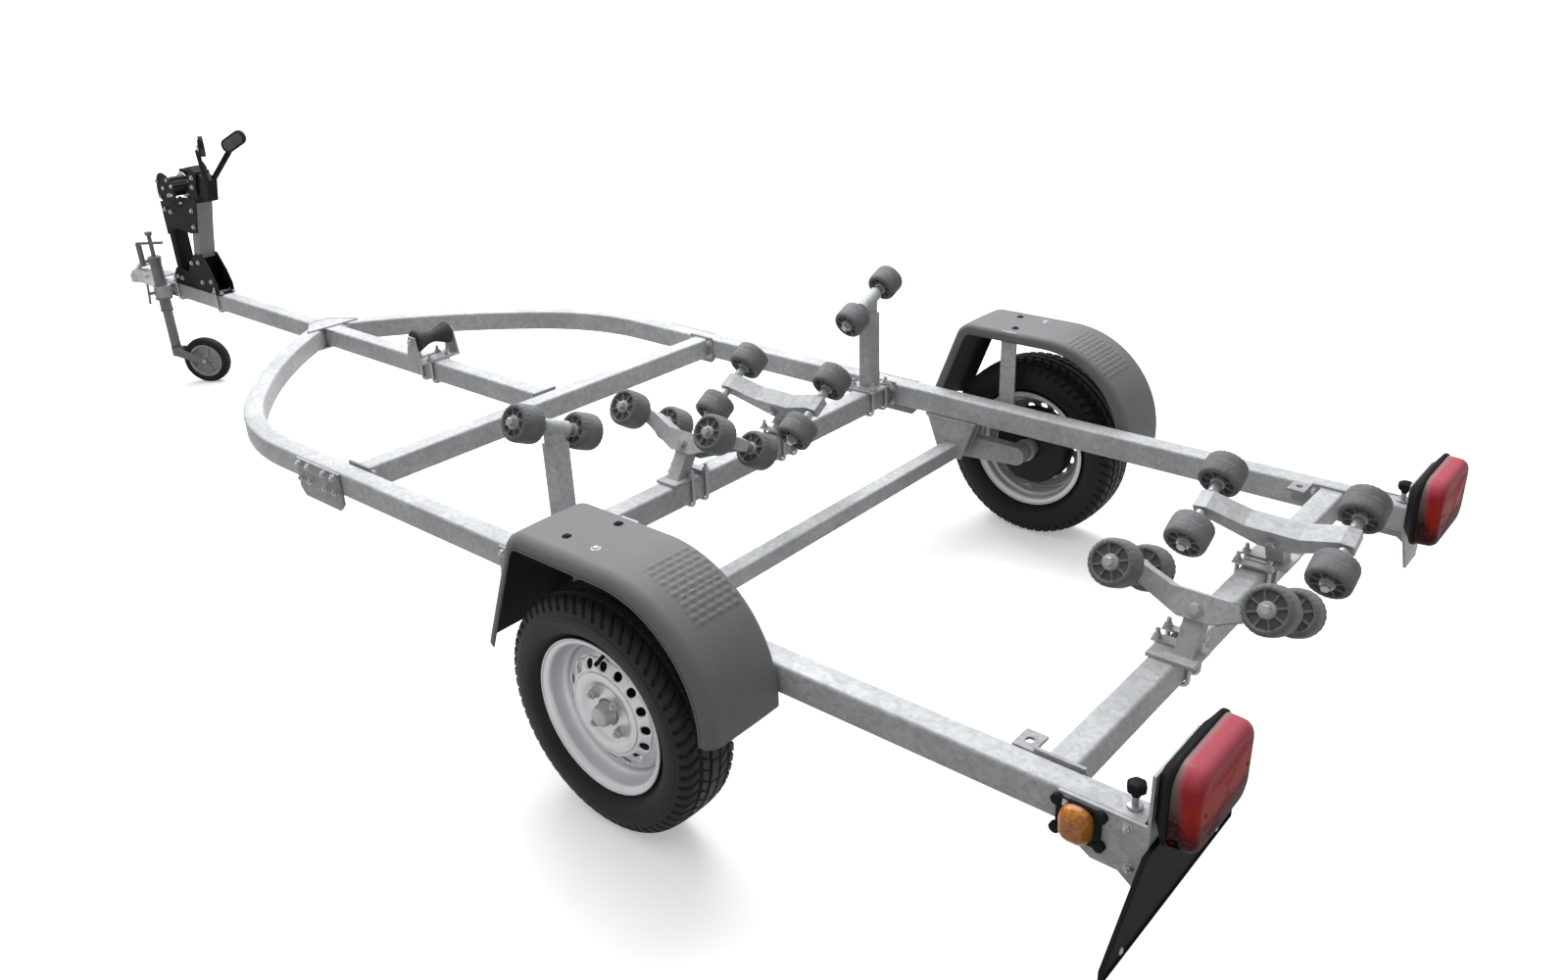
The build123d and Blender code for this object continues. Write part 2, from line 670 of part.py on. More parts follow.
def stop_pad_place():
    """Middle of the left pad's inner face."""
    return Pos(stop_x, stop_y, stop_z) * Rot(0, 0, -stop_splay) * Rot(stop_pitch, 0, 0)


def bow_stop_bracket():
    """Block behind the column's head with a fork that ends in a plate behind each pad."""
    length = (stand_top - frame_top) / cos(radians(stand_lean))
    base = stand_place() * block(-22, 22, 0, 70, length - 95, length - 5)
    start = (stand_place() * Pos(12, 52, length - 20)).position
    end = (stop_pad_place() * Pos(pad_t + 8, -30, -6)).position
    arm = rod(11, (start.X, start.Y, start.Z), (end.X, end.Y, end.Z))
    plate = stop_pad_place() * block(pad_t, pad_t + 4, -50, 26, -18, 18)
    pad_room = stop_pad_place() * block(-30, pad_t, -100, 100, -100, 100)
    left_arm, right_arm = both(arm + plate - pad_room)
    return base + left_arm + right_arm


# ------------------------------------------------------------ boat supports

def roller(radius):
    """One roller on the X axis with rounded edges and dished ends."""
    half = roller_w / 2
    return turned(mirrored_outline([
        (half, pin_r + running), (half, 20), (half - 9, 21), (half - 9, radius - 16),
        (half, radius - 14), (half, radius - 9), (half - 5, radius - 3), (half - 12, radius),
    ]))


def roller_pair(radius):
    single = roller(radius)
    return [Pos(pair_half, 0, 0) * single, Pos(-pair_half, 0, 0) * single]


def rocker():
    """Rocking beam, pivot at the origin: a folded channel with an axle at each end."""
    outline = (
        (-rocker_half - 20, pivot_drop - 14), (-rocker_half + 16, pivot_drop - 22), (-34, -22), (34, -22),
        (rocker_half - 16, pivot_drop - 22), (rocker_half + 20, pivot_drop - 14),
        (rocker_half + 20, pivot_drop + 14), (rocker_half - 10, pivot_drop + 18), (60, 34), (-60, 34),
        (-rocker_half + 10, pivot_drop + 18), (-rocker_half - 20, pivot_drop + 14),
    )
    beam = side_plate(outline, -rocker_half_w, rocker_half_w)
    room = block(-rocker_half_w + rocker_sheet, rocker_half_w - rocker_sheet, -rocker_half - 30,
                 rocker_half + 30, -80, 34 - rocker_sheet)
    beam -= room
    beam -= rod(pin_r + running, (-40, 0, 0), (40, 0, 0))
    for end in (-rocker_half, rocker_half):
        reach = pair_half + roller_w / 2 + 8
        beam += rod(pin_r, (-reach, end, pivot_drop), (reach, end, pivot_drop))
    return beam


def cradle_place(name):
    beam_y, behind, x, z, tilt = cradles[name]
    drop_x = x + pivot_drop * sin(radians(tilt))
    drop_z = z - pivot_drop * cos(radians(tilt))
    return tilted(drop_x, beam_y + behind, drop_z, tilt)


def cradle_stem(name):
    """Left stem of a cradle: pivot pin, leaning post and the foot on the crossbeam."""
    beam_y, behind, x, z, tilt = cradles[name]
    half = rocker_half_w - rocker_sheet - side_play
    post = block(-half, half, -20, 20, -200, 0) + rod(20, (-half, 0, 0), (half, 0, 0))
    pin = rod(pin_r, (-rocker_half_w - 6, 0, 0), (rocker_half_w + 6, 0, 0))
    stem = cradle_place(name) * (post + pin)
    stem -= block(-800, 800, -1000, 2000, 0, frame_top + 8)
    pivot = cradle_place(name).position
    foot_x = pivot.X + (pivot.Z - frame_top) * tan(radians(tilt))
    foot_rear = beam_y + behind + 34
    foot = block(foot_x - 42, foot_x + 42, beam_y - 34, foot_rear, frame_top, frame_top + 8)
    return stem + foot


def side_post():
    """Left side post with the tilted axle of its twin rollers."""
    half = post_side / 2
    post = block(post_x - half, post_x + half, middle_beam_y - half, middle_beam_y + half, frame_top + 8, post_top)
    post -= block(post_x - half + 4, post_x + half - 4, middle_beam_y - half + 4, middle_beam_y + half - 4,
                  frame_top, post_top - 4)
    foot = block(post_x - 50, post_x + 50, middle_beam_y - 50, middle_beam_y + 50, frame_top, frame_top + 8)
    reach = pair_half + roller_w / 2 + 8
    boss = rod(20, (-40, 0, 0), (40, 0, 0)) + rod(pin_r, (-reach, 0, 0), (reach, 0, 0))
    head = tilted(post_x, middle_beam_y, post_axle_z, post_tilt) * boss
    neck = block(post_x - 20, post_x + 20, middle_beam_y - 16, middle_beam_y + 16, post_top - 4, post_axle_z)
    return post + foot + head + neck


def keel_bracket():
    """Folded bracket on the drawbar with the keel roller's pin."""
    half = keel_half + 6
    base = block(-half - 6, half + 6, -40, 40, frame_top, frame_top + 6)
    cheek_outline = ((-40, frame_top), (40, frame_top), (18, keel_z + 18), (-18, keel_z + 18))
    bracket = base + side_plate(cheek_outline, half, half + 6) + side_plate(cheek_outline, -half - 6, -half)
    bracket += rod(pin_r, (-half - 10, 0, keel_z), (half + 10, 0, keel_z))
    return Pos(0, keel_y, 0) * bracket


def keel_roller():
    """Waisted roller under the keel."""
    waisted = turned(mirrored_outline([
        (keel_half, pin_r + running), (keel_half, 34), (keel_half - 8, 38), (keel_half - 26, 31), (10, 20),
    ]))
    return Pos(0, keel_y, keel_z) * waisted


# ---------------------------------------------------------------------- lamps

def lamp_bracket():
    """Left bracket: a cheek on the rail's outer face and the plate behind the lamp."""
    cheek_outline = (
        (bracket_rear_y - 167, frame_low), (bracket_rear_y - 100, frame_low - 42),
        (bracket_rear_y - 50, frame_low - 42), (bracket_rear_y, frame_low - 80), (bracket_rear_y, frame_top),
        (bracket_rear_y - 167, frame_top),
    )
    cheek = side_plate(cheek_outline, rail_outer_x, rail_outer_x + 6)
    plate_outline = (
        (rail_outer_x + 6, frame_low - 80), (rail_outer_x + 6, lamp_z + 50), (lamp_x - 70, lamp_z + 50),
        (lamp_x - 70, lamp_z - 60), (rail_outer_x - 80, frame_low - 80),
    )
    return cheek + cross_plate(plate_outline, bracket_rear_y - 6, bracket_rear_y)


def lamp_outline(shrink):
    plane = Plane(origin=(lamp_x, bracket_rear_y, lamp_z), x_dir=(1, 0, 0), z_dir=(0, -1, 0))
    return plane * RectangleRounded(lamp_w - 2 * shrink, lamp_h - 2 * shrink, lamp_corner - shrink)


def lamp_housing():
    """Housing that widens from the bracket to a rim."""
    rim = 8.0
    back = loft([lamp_outline(30), Pos(0, housing_depth - rim, 0) * lamp_outline(0)])
    return back + Pos(0, housing_depth - rim, 0) * extrude(lamp_outline(0), rim, dir=(0, 1, 0))


def lamp_lens():
    """Lens with a wide bevel round its face."""
    lens = Pos(0, housing_depth, 0) * extrude(lamp_outline(4), lens_depth, dir=(0, 1, 0))
    return chamfer(lens.faces().sort_by(Axis.Y)[-1].edges(), 14)


def number_plate_board():
    """Blank board for the number plate, below the left lamp."""
    outline = (
        (lamp_x - plate_half, plate_low), (lamp_x + plate_half, plate_low), (lamp_x + plate_half, plate_low + 22),
        (lamp_x + 128, lamp_z - lamp_h / 2 - 6), (lamp_x - 128, lamp_z - lamp_h / 2 - 6),
        (lamp_x - plate_half, plate_low + 22),
    )
    return cross_plate(outline, bracket_rear_y, bracket_rear_y + board_t)


def clamp_knob():
    """Left clamping screw at the rail's rear end."""
    screw = rod(6, (rail_x, clamp_y, frame_top), (rail_x, clamp_y, 482))
    return screw + rod(17, (rail_x, clamp_y, 478), (rail_x, clamp_y, 500))


def side_marker():
    """Left side marker lamp on the bracket's cheek."""
    face = Plane(origin=(rail_outer_x + 6, marker_y, marker_z), x_dir=(0, 1, 0), z_dir=(1, 0, 0))
    base = extrude(face * RectangleRounded(84, 76, 8), 6, dir=(1, 0, 0))
    lens = extrude(face * RectangleRounded(56, 68, 12), 28, dir=(1, 0, 0))
    return base + chamfer(lens.faces().sort_by(Axis.X)[-1].edges(), 7)


# --------------------------------------------------------------- the trailer

def build():
    for side, rail in zip(("left", "right"), both(side_rail())):
        save(f"{side}_side_rail", rail)
    save("drawbar", drawbar())
    for name, y in (("front", front_beam_y), ("middle", middle_beam_y), ("rear", rear_beam_y)):
        save(f"{name}_crossbeam", crossbeam(y))
    save("beam_brackets", *beam_brackets(), *both(lashing_angle()))
    save("drawbar_gussets", *drawbar_gussets())

    save("axle_tube", axle_tube())
    save("axle_brackets", *both(axle_bracket()))
    for name, shape in (
        ("swing_arm", swing_arm()), ("tyre", at_wheel(tyre())), ("rim", at_wheel(rim())),
        ("hub", at_wheel(hub())), ("mudguard", mudguard()),
    ):
        left, right = both(shape)
        save(f"left_{name}", left)
        save(f"right_{name}", right)
    save("mudguard_stays", *both(guard_stay()))

    save("coupling_head", coupling_head())
    save("coupling_lever", coupling_lever())
    save("jockey_clamp", jockey_clamp())
    save("jockey_outer_tube", jockey_outer_tube())
    save("jockey_crank", jockey_crank())
    save("jockey_leg", jockey_leg())
    save("jockey_fork", jockey_fork())
    save("jockey_wheel", jockey_wheel())

    save("winch_stand", winch_stand())
    save("winch_frame", winch_frame())
    save("winch_drum", winch_drum())
    save("winch_crank", winch_crank())
    save("bow_stop_bracket", bow_stop_bracket())
    save("bow_stop_pads", *bow_stop_pads())

    save("keel_roller_bracket", keel_bracket())
    save("keel_roller", keel_roller())
    save("side_posts", *both(side_post()))
    post_pair = [tilted(post_x, middle_beam_y, post_axle_z, post_tilt) * one for one in roller_pair(post_roller_r)]
    save("left_post_rollers", *post_pair)
    save("right_post_rollers", *[mirror(one, about=Plane.YZ) for one in post_pair])

    save("cradle_stems", *both(cradle_stem("middle")), *both(cradle_stem("rear")))
    for name in cradles:
        place = cradle_place(name)
        for side, shape in zip(("left", "right"), both(place * rocker())):
            save(f"{name}_{side}_rocker", shape)
        for end, y in (("front", -rocker_half), ("rear", rocker_half)):
            pair = [place * Pos(0, y, pivot_drop) * one for one in roller_pair(cradle_roller_r)]
            save(f"{name}_left_{end}_rollers", *pair)
            save(f"{name}_right_{end}_rollers", *[mirror(one, about=Plane.YZ) for one in pair])

    save("lamp_brackets", *both(lamp_bracket()))
    save("lamp_housings", *both(lamp_housing()))
    save("lamp_lenses", *both(lamp_lens()))
    save("number_plate_board", number_plate_board())
    save("clamp_knobs", *both(clamp_knob()))
    save("side_markers", *both(side_marker()))


build()
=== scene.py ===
import json

from itertools import product
from math import cos, pi, radians, sin, tan

import bmesh
import bpy
import numpy as np
from mathutils import Matrix, Vector


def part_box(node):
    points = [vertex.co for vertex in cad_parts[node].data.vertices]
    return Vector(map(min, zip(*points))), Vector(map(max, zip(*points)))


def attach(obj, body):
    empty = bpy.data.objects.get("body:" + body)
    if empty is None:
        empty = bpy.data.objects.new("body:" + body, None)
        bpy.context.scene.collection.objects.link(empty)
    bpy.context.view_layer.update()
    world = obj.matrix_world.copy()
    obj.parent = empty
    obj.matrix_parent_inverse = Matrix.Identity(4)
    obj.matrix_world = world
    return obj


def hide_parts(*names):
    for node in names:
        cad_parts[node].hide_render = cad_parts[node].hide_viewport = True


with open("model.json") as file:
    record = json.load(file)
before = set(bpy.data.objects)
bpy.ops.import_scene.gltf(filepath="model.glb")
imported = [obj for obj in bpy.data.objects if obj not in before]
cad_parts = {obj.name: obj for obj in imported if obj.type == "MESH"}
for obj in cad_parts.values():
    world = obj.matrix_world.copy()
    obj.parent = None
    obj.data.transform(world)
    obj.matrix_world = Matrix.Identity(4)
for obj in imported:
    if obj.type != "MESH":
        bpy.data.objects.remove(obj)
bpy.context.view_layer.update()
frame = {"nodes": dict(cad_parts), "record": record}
nodes = frame["nodes"]

MM = 0.001               # lengths are in millimetres
AXLE_Y = round(sum(corner.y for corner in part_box("left_hub")) / 2 / MM, 1)   # behind the trailer's middle
SIDES = (("left", 1), ("right", -1))


def corners(node):
    """Lowest and highest corner of a CAD node to a thousandth, y from the wheel axis."""
    return [np.round(np.array(corner) / MM - (0, AXLE_Y, 0), 3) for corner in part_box(node)]


def centre_of(node):
    """Centre of a CAD node's box."""
    low, high = corners(node)
    return (low + high) / 2


WHEEL_X, _, TYRE_R = centre_of("left_tyre")
SEAT_R = 165.1           # where a tyre's bead sits on the rim
(_, _, FRAME_LOW), (RAIL_OUT, RAIL_REAR, FRAME_TOP) = corners("left_side_rail")
TUBE_W, TUBE_H, TUBE_EDGE = 60.0, 70.0, 8.0
FRAME_MID = FRAME_TOP - TUBE_H / 2
RAIL_IN = RAIL_OUT - TUBE_W
RAIL_X = RAIL_OUT - TUBE_W / 2
BEND_Y = -1582.0         # where the rails leave the straight
BEAMS = {beam: centre_of(f"{beam}_crossbeam")[1] for beam in ("front", "middle", "rear")}
DRAWBAR_FRONT = corners("drawbar")[0][1]


# ---------------------------------------------------------------- materials

def add(tree, kind, **values):
    """New shader node; in_N sets input N, other names set attributes."""
    node = tree.nodes.new(kind)
    for key, value in values.items():
        if key.startswith("in_"):
            node.inputs[int(key[3:])].default_value = value
        else:
            setattr(node, key, value)
    return node


def link(tree, source, target):
    """Joins an output socket to an input."""
    tree.links.new(source, target)


def maths(tree, operation, *terms):
    """Math node from sockets and plain numbers."""
    node = add(tree, "ShaderNodeMath", operation=operation)
    for socket, term in zip(node.inputs, terms):
        if isinstance(term, (int, float)):
            socket.default_value = term
        else:
            link(tree, term, socket)
    return node.outputs[0]


def ramp(tree, source, stops):
    """Colour ramp over a socket; stops are (position, colour)."""
    node = tree.nodes.new("ShaderNodeValToRGB")
    while len(node.color_ramp.elements) < len(stops):
        node.color_ramp.elements.new(0.5)
    for element, (spot, colour) in zip(node.color_ramp.elements, stops):
        element.position = spot
        element.color = (*colour, 1)
    link(tree, source, node.inputs[0])
    return node.outputs[0]


def mixed(tree, factor, first, second):
    """Colour between two, by a socket; each of the two is a colour or a socket."""
    node = add(tree, "ShaderNodeMix", data_type="RGBA")
    link(tree, factor, node.inputs["Factor"])
    for socket, term in ((node.inputs["A"], first), (node.inputs["B"], second)):
        if isinstance(term, tuple):
            socket.default_value = (*term, 1)
        else:
            link(tree, term, socket)
    return node.outputs["Result"]


def grey(value):
    """Neutral colour of one value."""
    return (value, value, value)


def surface_grain():
    """Group: fine noise, slow cloud, crystal cells, scratches and a worn-edge mask, with softened edges."""
    tree = bpy.data.node_groups.new("surface_grain", "ShaderNodeTree")
    given_values = {"Fine Scale": 140.0, "Cloud Scale": 6.0, "Cell Scale": 95.0, "Edge Radius": 0.002}
    for label, value in given_values.items():
        tree.interface.new_socket(label, in_out="INPUT", socket_type="NodeSocketFloat").default_value = value
    for label in ("Fine", "Cloud", "Cell", "Scratch", "Edge"):
        tree.interface.new_socket(label, in_out="OUTPUT", socket_type="NodeSocketFloat")
    tree.interface.new_socket("Soft Normal", in_out="OUTPUT", socket_type="NodeSocketVector")
    given = tree.nodes.new("NodeGroupInput")
    out = tree.nodes.new("NodeGroupOutput")
    where = add(tree, "ShaderNodeTexCoord").outputs["Object"]
    fine = add(tree, "ShaderNodeTexNoise", in_3=3.0)
    cloud = add(tree, "ShaderNodeTexNoise", in_3=4.0)
    cell = add(tree, "ShaderNodeTexVoronoi")
    scratch = add(tree, "ShaderNodeTexNoise", in_2=260.0, in_3=2.0)
    stretch = add(tree, "ShaderNodeMapping")
    stretch.inputs["Scale"].default_value = (1.0, 0.06, 1.0)
    link(tree, where, stretch.inputs["Vector"])
    link(tree, stretch.outputs[0], scratch.inputs["Vector"])
    for node, label in ((fine, "Fine Scale"), (cloud, "Cloud Scale"), (cell, "Cell Scale")):
        link(tree, where, node.inputs["Vector"])
        link(tree, given.outputs[label], node.inputs["Scale"])
    soft = add(tree, "ShaderNodeBevel", samples=4)
    link(tree, given.outputs["Edge Radius"], soft.inputs["Radius"])
    plain = add(tree, "ShaderNodeNewGeometry")
    same = add(tree, "ShaderNodeVectorMath", operation="DOT_PRODUCT")
    link(tree, soft.outputs[0], same.inputs[0])
    link(tree, plain.outputs["Normal"], same.inputs[1])
    bare = maths(tree, "MULTIPLY", maths(tree, "SUBTRACT", 1.0, same.outputs["Value"]), 9.0)
    patchy = maths(tree, "MULTIPLY", bare, maths(tree, "ADD", fine.outputs["Fac"], 0.3))
    edge = add(tree, "ShaderNodeClamp")
    link(tree, patchy, edge.inputs["Value"])
    link(tree, fine.outputs["Fac"], out.inputs["Fine"])
    link(tree, cloud.outputs["Fac"], out.inputs["Cloud"])
    link(tree, cell.outputs["Color"], out.inputs["Cell"])
    link(tree, scratch.outputs["Fac"], out.inputs["Scratch"])
    link(tree, edge.outputs[0], out.inputs["Edge"])
    link(tree, soft.outputs[0], out.inputs["Soft Normal"])
    return tree


GRAIN = surface_grain()


def material(name, colour, rough, metallic=0.0, cloud=0.1, cells=0.0, scratch=0.0, worn=None, wear=0.5,
             relief=0.1, edge=0.002, grain=140.0, cell_scale=95.0, rough_play=0.2, **shader_values):
    """Base colour varied by cloud, crystals and scratches, lighter where edges are worn."""
    m = bpy.data.materials.new(name)
    m.use_nodes = True
    tree = m.node_tree
    shader = tree.nodes["Principled BSDF"]
    shader.inputs["Metallic"].default_value = metallic
    for key, value in shader_values.items():
        shader.inputs[key.replace("_", " ")].default_value = value
    group = add(tree, "ShaderNodeGroup", node_tree=GRAIN)
    group.inputs["Fine Scale"].default_value = grain
    group.inputs["Cell Scale"].default_value = cell_scale
    group.inputs["Edge Radius"].default_value = edge
    tone = maths(tree, "MULTIPLY_ADD", group.outputs["Cloud"], 2 * cloud, 1 - cloud)
    for label, play in (("Cell", cells), ("Scratch", scratch)):
        if play:
            mark = maths(tree, "MULTIPLY_ADD", group.outputs[label], 2 * play, 1 - play)
            tone = maths(tree, "MULTIPLY", tone, mark)
    tint = add(tree, "ShaderNodeVectorMath", operation="SCALE")
    tint.inputs[0].default_value = colour
    link(tree, tone, tint.inputs["Scale"])
    base = tint.outputs[0]
    if worn:
        base = mixed(tree, maths(tree, "MULTIPLY", group.outputs["Edge"], wear), base, worn)
    link(tree, base, shader.inputs["Base Color"])
    gloss = maths(tree, "MULTIPLY_ADD", group.outputs["Fine"], rough_play, rough - rough_play / 2)
    link(tree, gloss, shader.inputs["Roughness"])
    bump = add(tree, "ShaderNodeBump")
    bump.inputs["Strength"].default_value = relief
    bump.inputs["Distance"].default_value = 0.001
    link(tree, group.outputs["Fine"], bump.inputs["Height"])
    link(tree, group.outputs["Soft Normal"], bump.inputs["Normal"])
    link(tree, bump.outputs[0], shader.inputs["Normal"])
    return m


def lamp_glass():
    """Lens in zones by depth and height: clear upper flank, a pink top that is a painted reflection, red
    middle, and a lower flank darkened as painted shade; the face is also darker towards the bottom.
    """
    m = material("lamp_glass", (0.5, 0.02, 0.02), 0.3, cloud=0.15, relief=0.03, Specular_IOR_Level=0.0,
                 Coat_Weight=0.15, Coat_Roughness=0.12)
    tree = m.node_tree
    shader = tree.nodes["Principled BSDF"]
    split = add(tree, "ShaderNodeSeparateXYZ")
    link(tree, add(tree, "ShaderNodeTexCoord").outputs["Object"], split.inputs[0])
    (_, back, low), (_, front, high) = corners("lamp_lenses")
    depth = add(tree, "ShaderNodeMapRange", in_1=(AXLE_Y + back) * MM, in_2=(AXLE_Y + front - 2) * MM)
    link(tree, split.outputs["Y"], depth.inputs[0])
    height = add(tree, "ShaderNodeMapRange", in_1=low * MM, in_2=high * MM)
    link(tree, split.outputs["Z"], height.inputs[0])
    # Face colour by height: darker towards the bottom, red in the middle, and a pink top that is a painted
    # reflection.
    face = ramp(tree, height.outputs[0], [
        (0.0, (0.03, 0.001, 0.002)), (0.25, (0.09, 0.002, 0.004)), (0.46, (0.40, 0.012, 0.006)),
        (0.62, (0.44, 0.020, 0.010)), (0.80, (0.38, 0.016, 0.030)), (1.0, (0.40, 0.09, 0.12)),
    ])
    # Flank colour by height: painted shade darkens the lower flank; the upper flank is clear grey.
    flank = ramp(tree, height.outputs[0], [
        (0.0, (0.010, 0.002, 0.003)), (0.42, (0.018, 0.003, 0.005)), (0.58, (0.10, 0.075, 0.07)),
        (1.0, (0.24, 0.24, 0.235)),
    ])
    slanted = maths(tree, "ADD", depth.outputs[0], maths(tree, "MULTIPLY_ADD", height.outputs[0], 0.6, -0.34))
    deep = ramp(tree, slanted, [(0.26, grey(0)), (0.56, grey(1))])
    zones = mixed(tree, deep, flank, face)
    # Painted glints: small cells lighten the lens towards bright orange.
    spark = add(tree, "ShaderNodeTexVoronoi", in_2=110.0)
    link(tree, add(tree, "ShaderNodeTexCoord").outputs["Object"], spark.inputs["Vector"])
    glint = ramp(tree, spark.outputs["Distance"], [(0.0, grey(0.22)), (0.5, grey(0.0))])
    link(tree, mixed(tree, glint, zones, (0.62, 0.10, 0.02)), shader.inputs["Base Color"])
    return m


MATS = {
    "galvanised_steel": material("zinc_dipped", (0.43, 0.444, 0.452), 0.55, 0.1, cloud=0.3, cells=0.16,
                                 scratch=0.08, worn=(0.70, 0.71, 0.72), wear=0.6, relief=0.2, edge=0.003,
                                 Specular_IOR_Level=0.2),
    "black_steel": material("black_paint", (0.012, 0.012, 0.014), 0.5, cloud=0.3, scratch=0.2,
                            worn=(0.14, 0.14, 0.145), wear=0.5, relief=0.1, edge=0.0025,
                            Specular_IOR_Level=0.0, Coat_Weight=0.15, Coat_Roughness=0.35),
    "zinc_plate": material("zinc_bright", (0.34, 0.35, 0.36), 0.36, 0.45, cloud=0.3, scratch=0.15,
                           worn=(0.62, 0.62, 0.63), edge=0.0015),
    "silver_rim": material("rim_silver", (0.70, 0.715, 0.73), 0.34, 0.3, cloud=0.12, cells=0.03, relief=0.04,
                           edge=0.001, grain=400.0),
    "hub_iron": material("hub_iron", (0.46, 0.47, 0.48), 0.42, 0.3, cloud=0.3, scratch=0.1, edge=0.001),
    # The tyre's lighter worn edges are partly rubbed rubber and partly a painted highlight along the
    # sidewall's rings.
    "tyre": material("tyre", (0.013, 0.013, 0.014), 0.62, cloud=0.3, scratch=0.1, worn=(0.05, 0.05, 0.05),
                     wear=0.6, relief=0.25, edge=0.001, Specular_IOR_Level=0.2),
    "roller_rubber": material("roller_rubber", (0.165, 0.17, 0.176), 0.66, cloud=0.4, cells=0.12,
                              scratch=0.25, worn=(0.32, 0.325, 0.33), wear=0.6, relief=0.35, edge=0.0015,
                              cell_scale=60.0, Specular_IOR_Level=0.15),
    "guard_plastic": material("guard_plastic", (0.165, 0.168, 0.174), 0.56, cloud=0.12, scratch=0.1,
                              relief=0.3, edge=0.001, grain=420.0, Specular_IOR_Level=0.15),
    "black_plastic": material("black_plastic", (0.014, 0.014, 0.016), 0.52, cloud=0.2, relief=0.2,
                              edge=0.0015, worn=(0.05, 0.05, 0.055), Specular_IOR_Level=0.0,
                              Coat_Weight=0.12, Coat_Roughness=0.4),
    "red_lens": lamp_glass(),
    # The amber's crystal cells are painted glints: at random, cells render lighter and darker than its
    # colour.
    "amber_lens": material("amber_glass", (0.46, 0.16, 0.02), 0.3, cloud=0.5, cells=0.35, relief=0.2,
                           edge=0.001, cell_scale=170.0, Specular_IOR_Level=0.1, Coat_Weight=0.4,
                           Coat_Roughness=0.1),
    "jockey_tyre": material("jockey_rubber", (0.022, 0.022, 0.024), 0.66, cloud=0.2, relief=0.2, edge=0.001,
                            worn=(0.08, 0.08, 0.08), Specular_IOR_Level=0.1),
}
HUB_PLASTIC = material("hub_plastic", (0.36, 0.37, 0.38), 0.5, cloud=0.15, relief=0.1, edge=0.001)
ROLLER_HUB = material("roller_hub", (0.40, 0.41, 0.42), 0.55, cloud=0.25, relief=0.1, edge=0.001)
SLEEVE_GREY = material("sleeve_grey", (0.27, 0.275, 0.28), 0.6, cloud=0.2, relief=0.2, edge=0.002,
                       Specular_IOR_Level=0.2)
DULL_ZINC = material("dull_zinc", (0.17, 0.175, 0.18), 0.5, 0.2, cloud=0.35, scratch=0.2, edge=0.0015,
                     worn=(0.42, 0.42, 0.43), Specular_IOR_Level=0.2)
PLATE_ZINC = material("plate_zinc", (0.30, 0.308, 0.315), 0.55, 0.1, cloud=0.35, cells=0.2, scratch=0.15,
                      worn=(0.5, 0.5, 0.51), relief=0.2, edge=0.002, Specular_IOR_Level=0.2)
KEEL_RUBBER = material("keel_rubber", (0.045, 0.046, 0.048), 0.62, cloud=0.3, scratch=0.2, relief=0.3,
                       edge=0.001, worn=(0.14, 0.14, 0.145), Specular_IOR_Level=0.15)
STRAP = material("strap_web", (0.04, 0.04, 0.045), 0.85, cloud=0.3, relief=0.5, edge=0.0005, grain=500.0,
                 Specular_IOR_Level=0.2)
# The guard's inside is its plastic made near black: painted shade under the arch.
GUARD_PAINTED_SHADE = material("guard_inside_painted_shade", (0.016, 0.016, 0.018), 0.8, cloud=0.2, relief=0.3, edge=0.001,
                        Specular_IOR_Level=0.15)
DRUM_IRON = material("brake_drum", (0.020, 0.020, 0.021), 0.7, 0.0, cloud=0.4, scratch=0.2, relief=0.3,
                     edge=0.001, worn=(0.08, 0.08, 0.08), Specular_IOR_Level=0.25)

slots = {part["node"]: part["material_slot"] for part in frame["record"]["subparts"]}
own_finish = {"beam_brackets": PLATE_ZINC, "jockey_crank": DULL_ZINC, "jockey_fork": DULL_ZINC,
              "jockey_leg": DULL_ZINC, "jockey_outer_tube": DULL_ZINC}
for name, obj in nodes.items():
    obj.data.materials.clear()
    obj.data.materials.append(own_finish.get(name, MATS[slots[name]]))


# ----------------------------------------------------------------- geometry

def at(x, y, z):
    """Point in metres from millimetres, y from the wheel axis."""
    return Vector((x, y + AXLE_Y, z)) * MM


def seat(x, y, z, out=(0, 0, 1), along=None):
    """Place in millimetres at a point: its Z points out of the surface and its X along it."""
    z_axis = Vector(out).normalized()
    if along is None:
        along = (0, 1, 0) if abs(z_axis.x) > 0.7 else (1, 0, 0)
    x_axis = Vector(along)
    x_axis = (x_axis - z_axis * x_axis.dot(z_axis)).normalized()
    turn = Matrix((x_axis, z_axis.cross(x_axis), z_axis)).transposed().to_4x4()
    return Matrix.Translation(at(x, y, z)) @ turn @ Matrix.Scale(MM, 4)


BASE = seat(0, 0, 0)


def moved(points, place):
    """Points taken through a 4 x 4 place."""
    turn = np.array(place)
    return points @ turn[:3, :3].T + turn[:3, 3]


def softened(points, rounds=2, closed=False):
    """Corner cutting: each round replaces a corner by points a quarter along its two sides."""
    points = np.asarray(points, float)
    first, last = points[:1], points[-1:]
    for _ in range(rounds):
        after = np.roll(points, -1, axis=0) if closed else points[1:]
        before = points if closed else points[:-1]
        pairs = np.stack([0.75 * before + 0.25 * after, 0.25 * before + 0.75 * after], 1)
        points = pairs.reshape(-1, points.shape[1])
        if not closed:
            points = np.concatenate([first, points, last])
    return points


def spread(points, count):
    """The same line with points at equal distances."""
    steps = np.linalg.norm(np.diff(points, axis=0), axis=1)
    run = np.concatenate([[0], np.cumsum(steps)])
    even = np.linspace(0, run[-1], count)
    return np.stack([np.interp(even, run, points[:, k]) for k in range(points.shape[1])], -1)


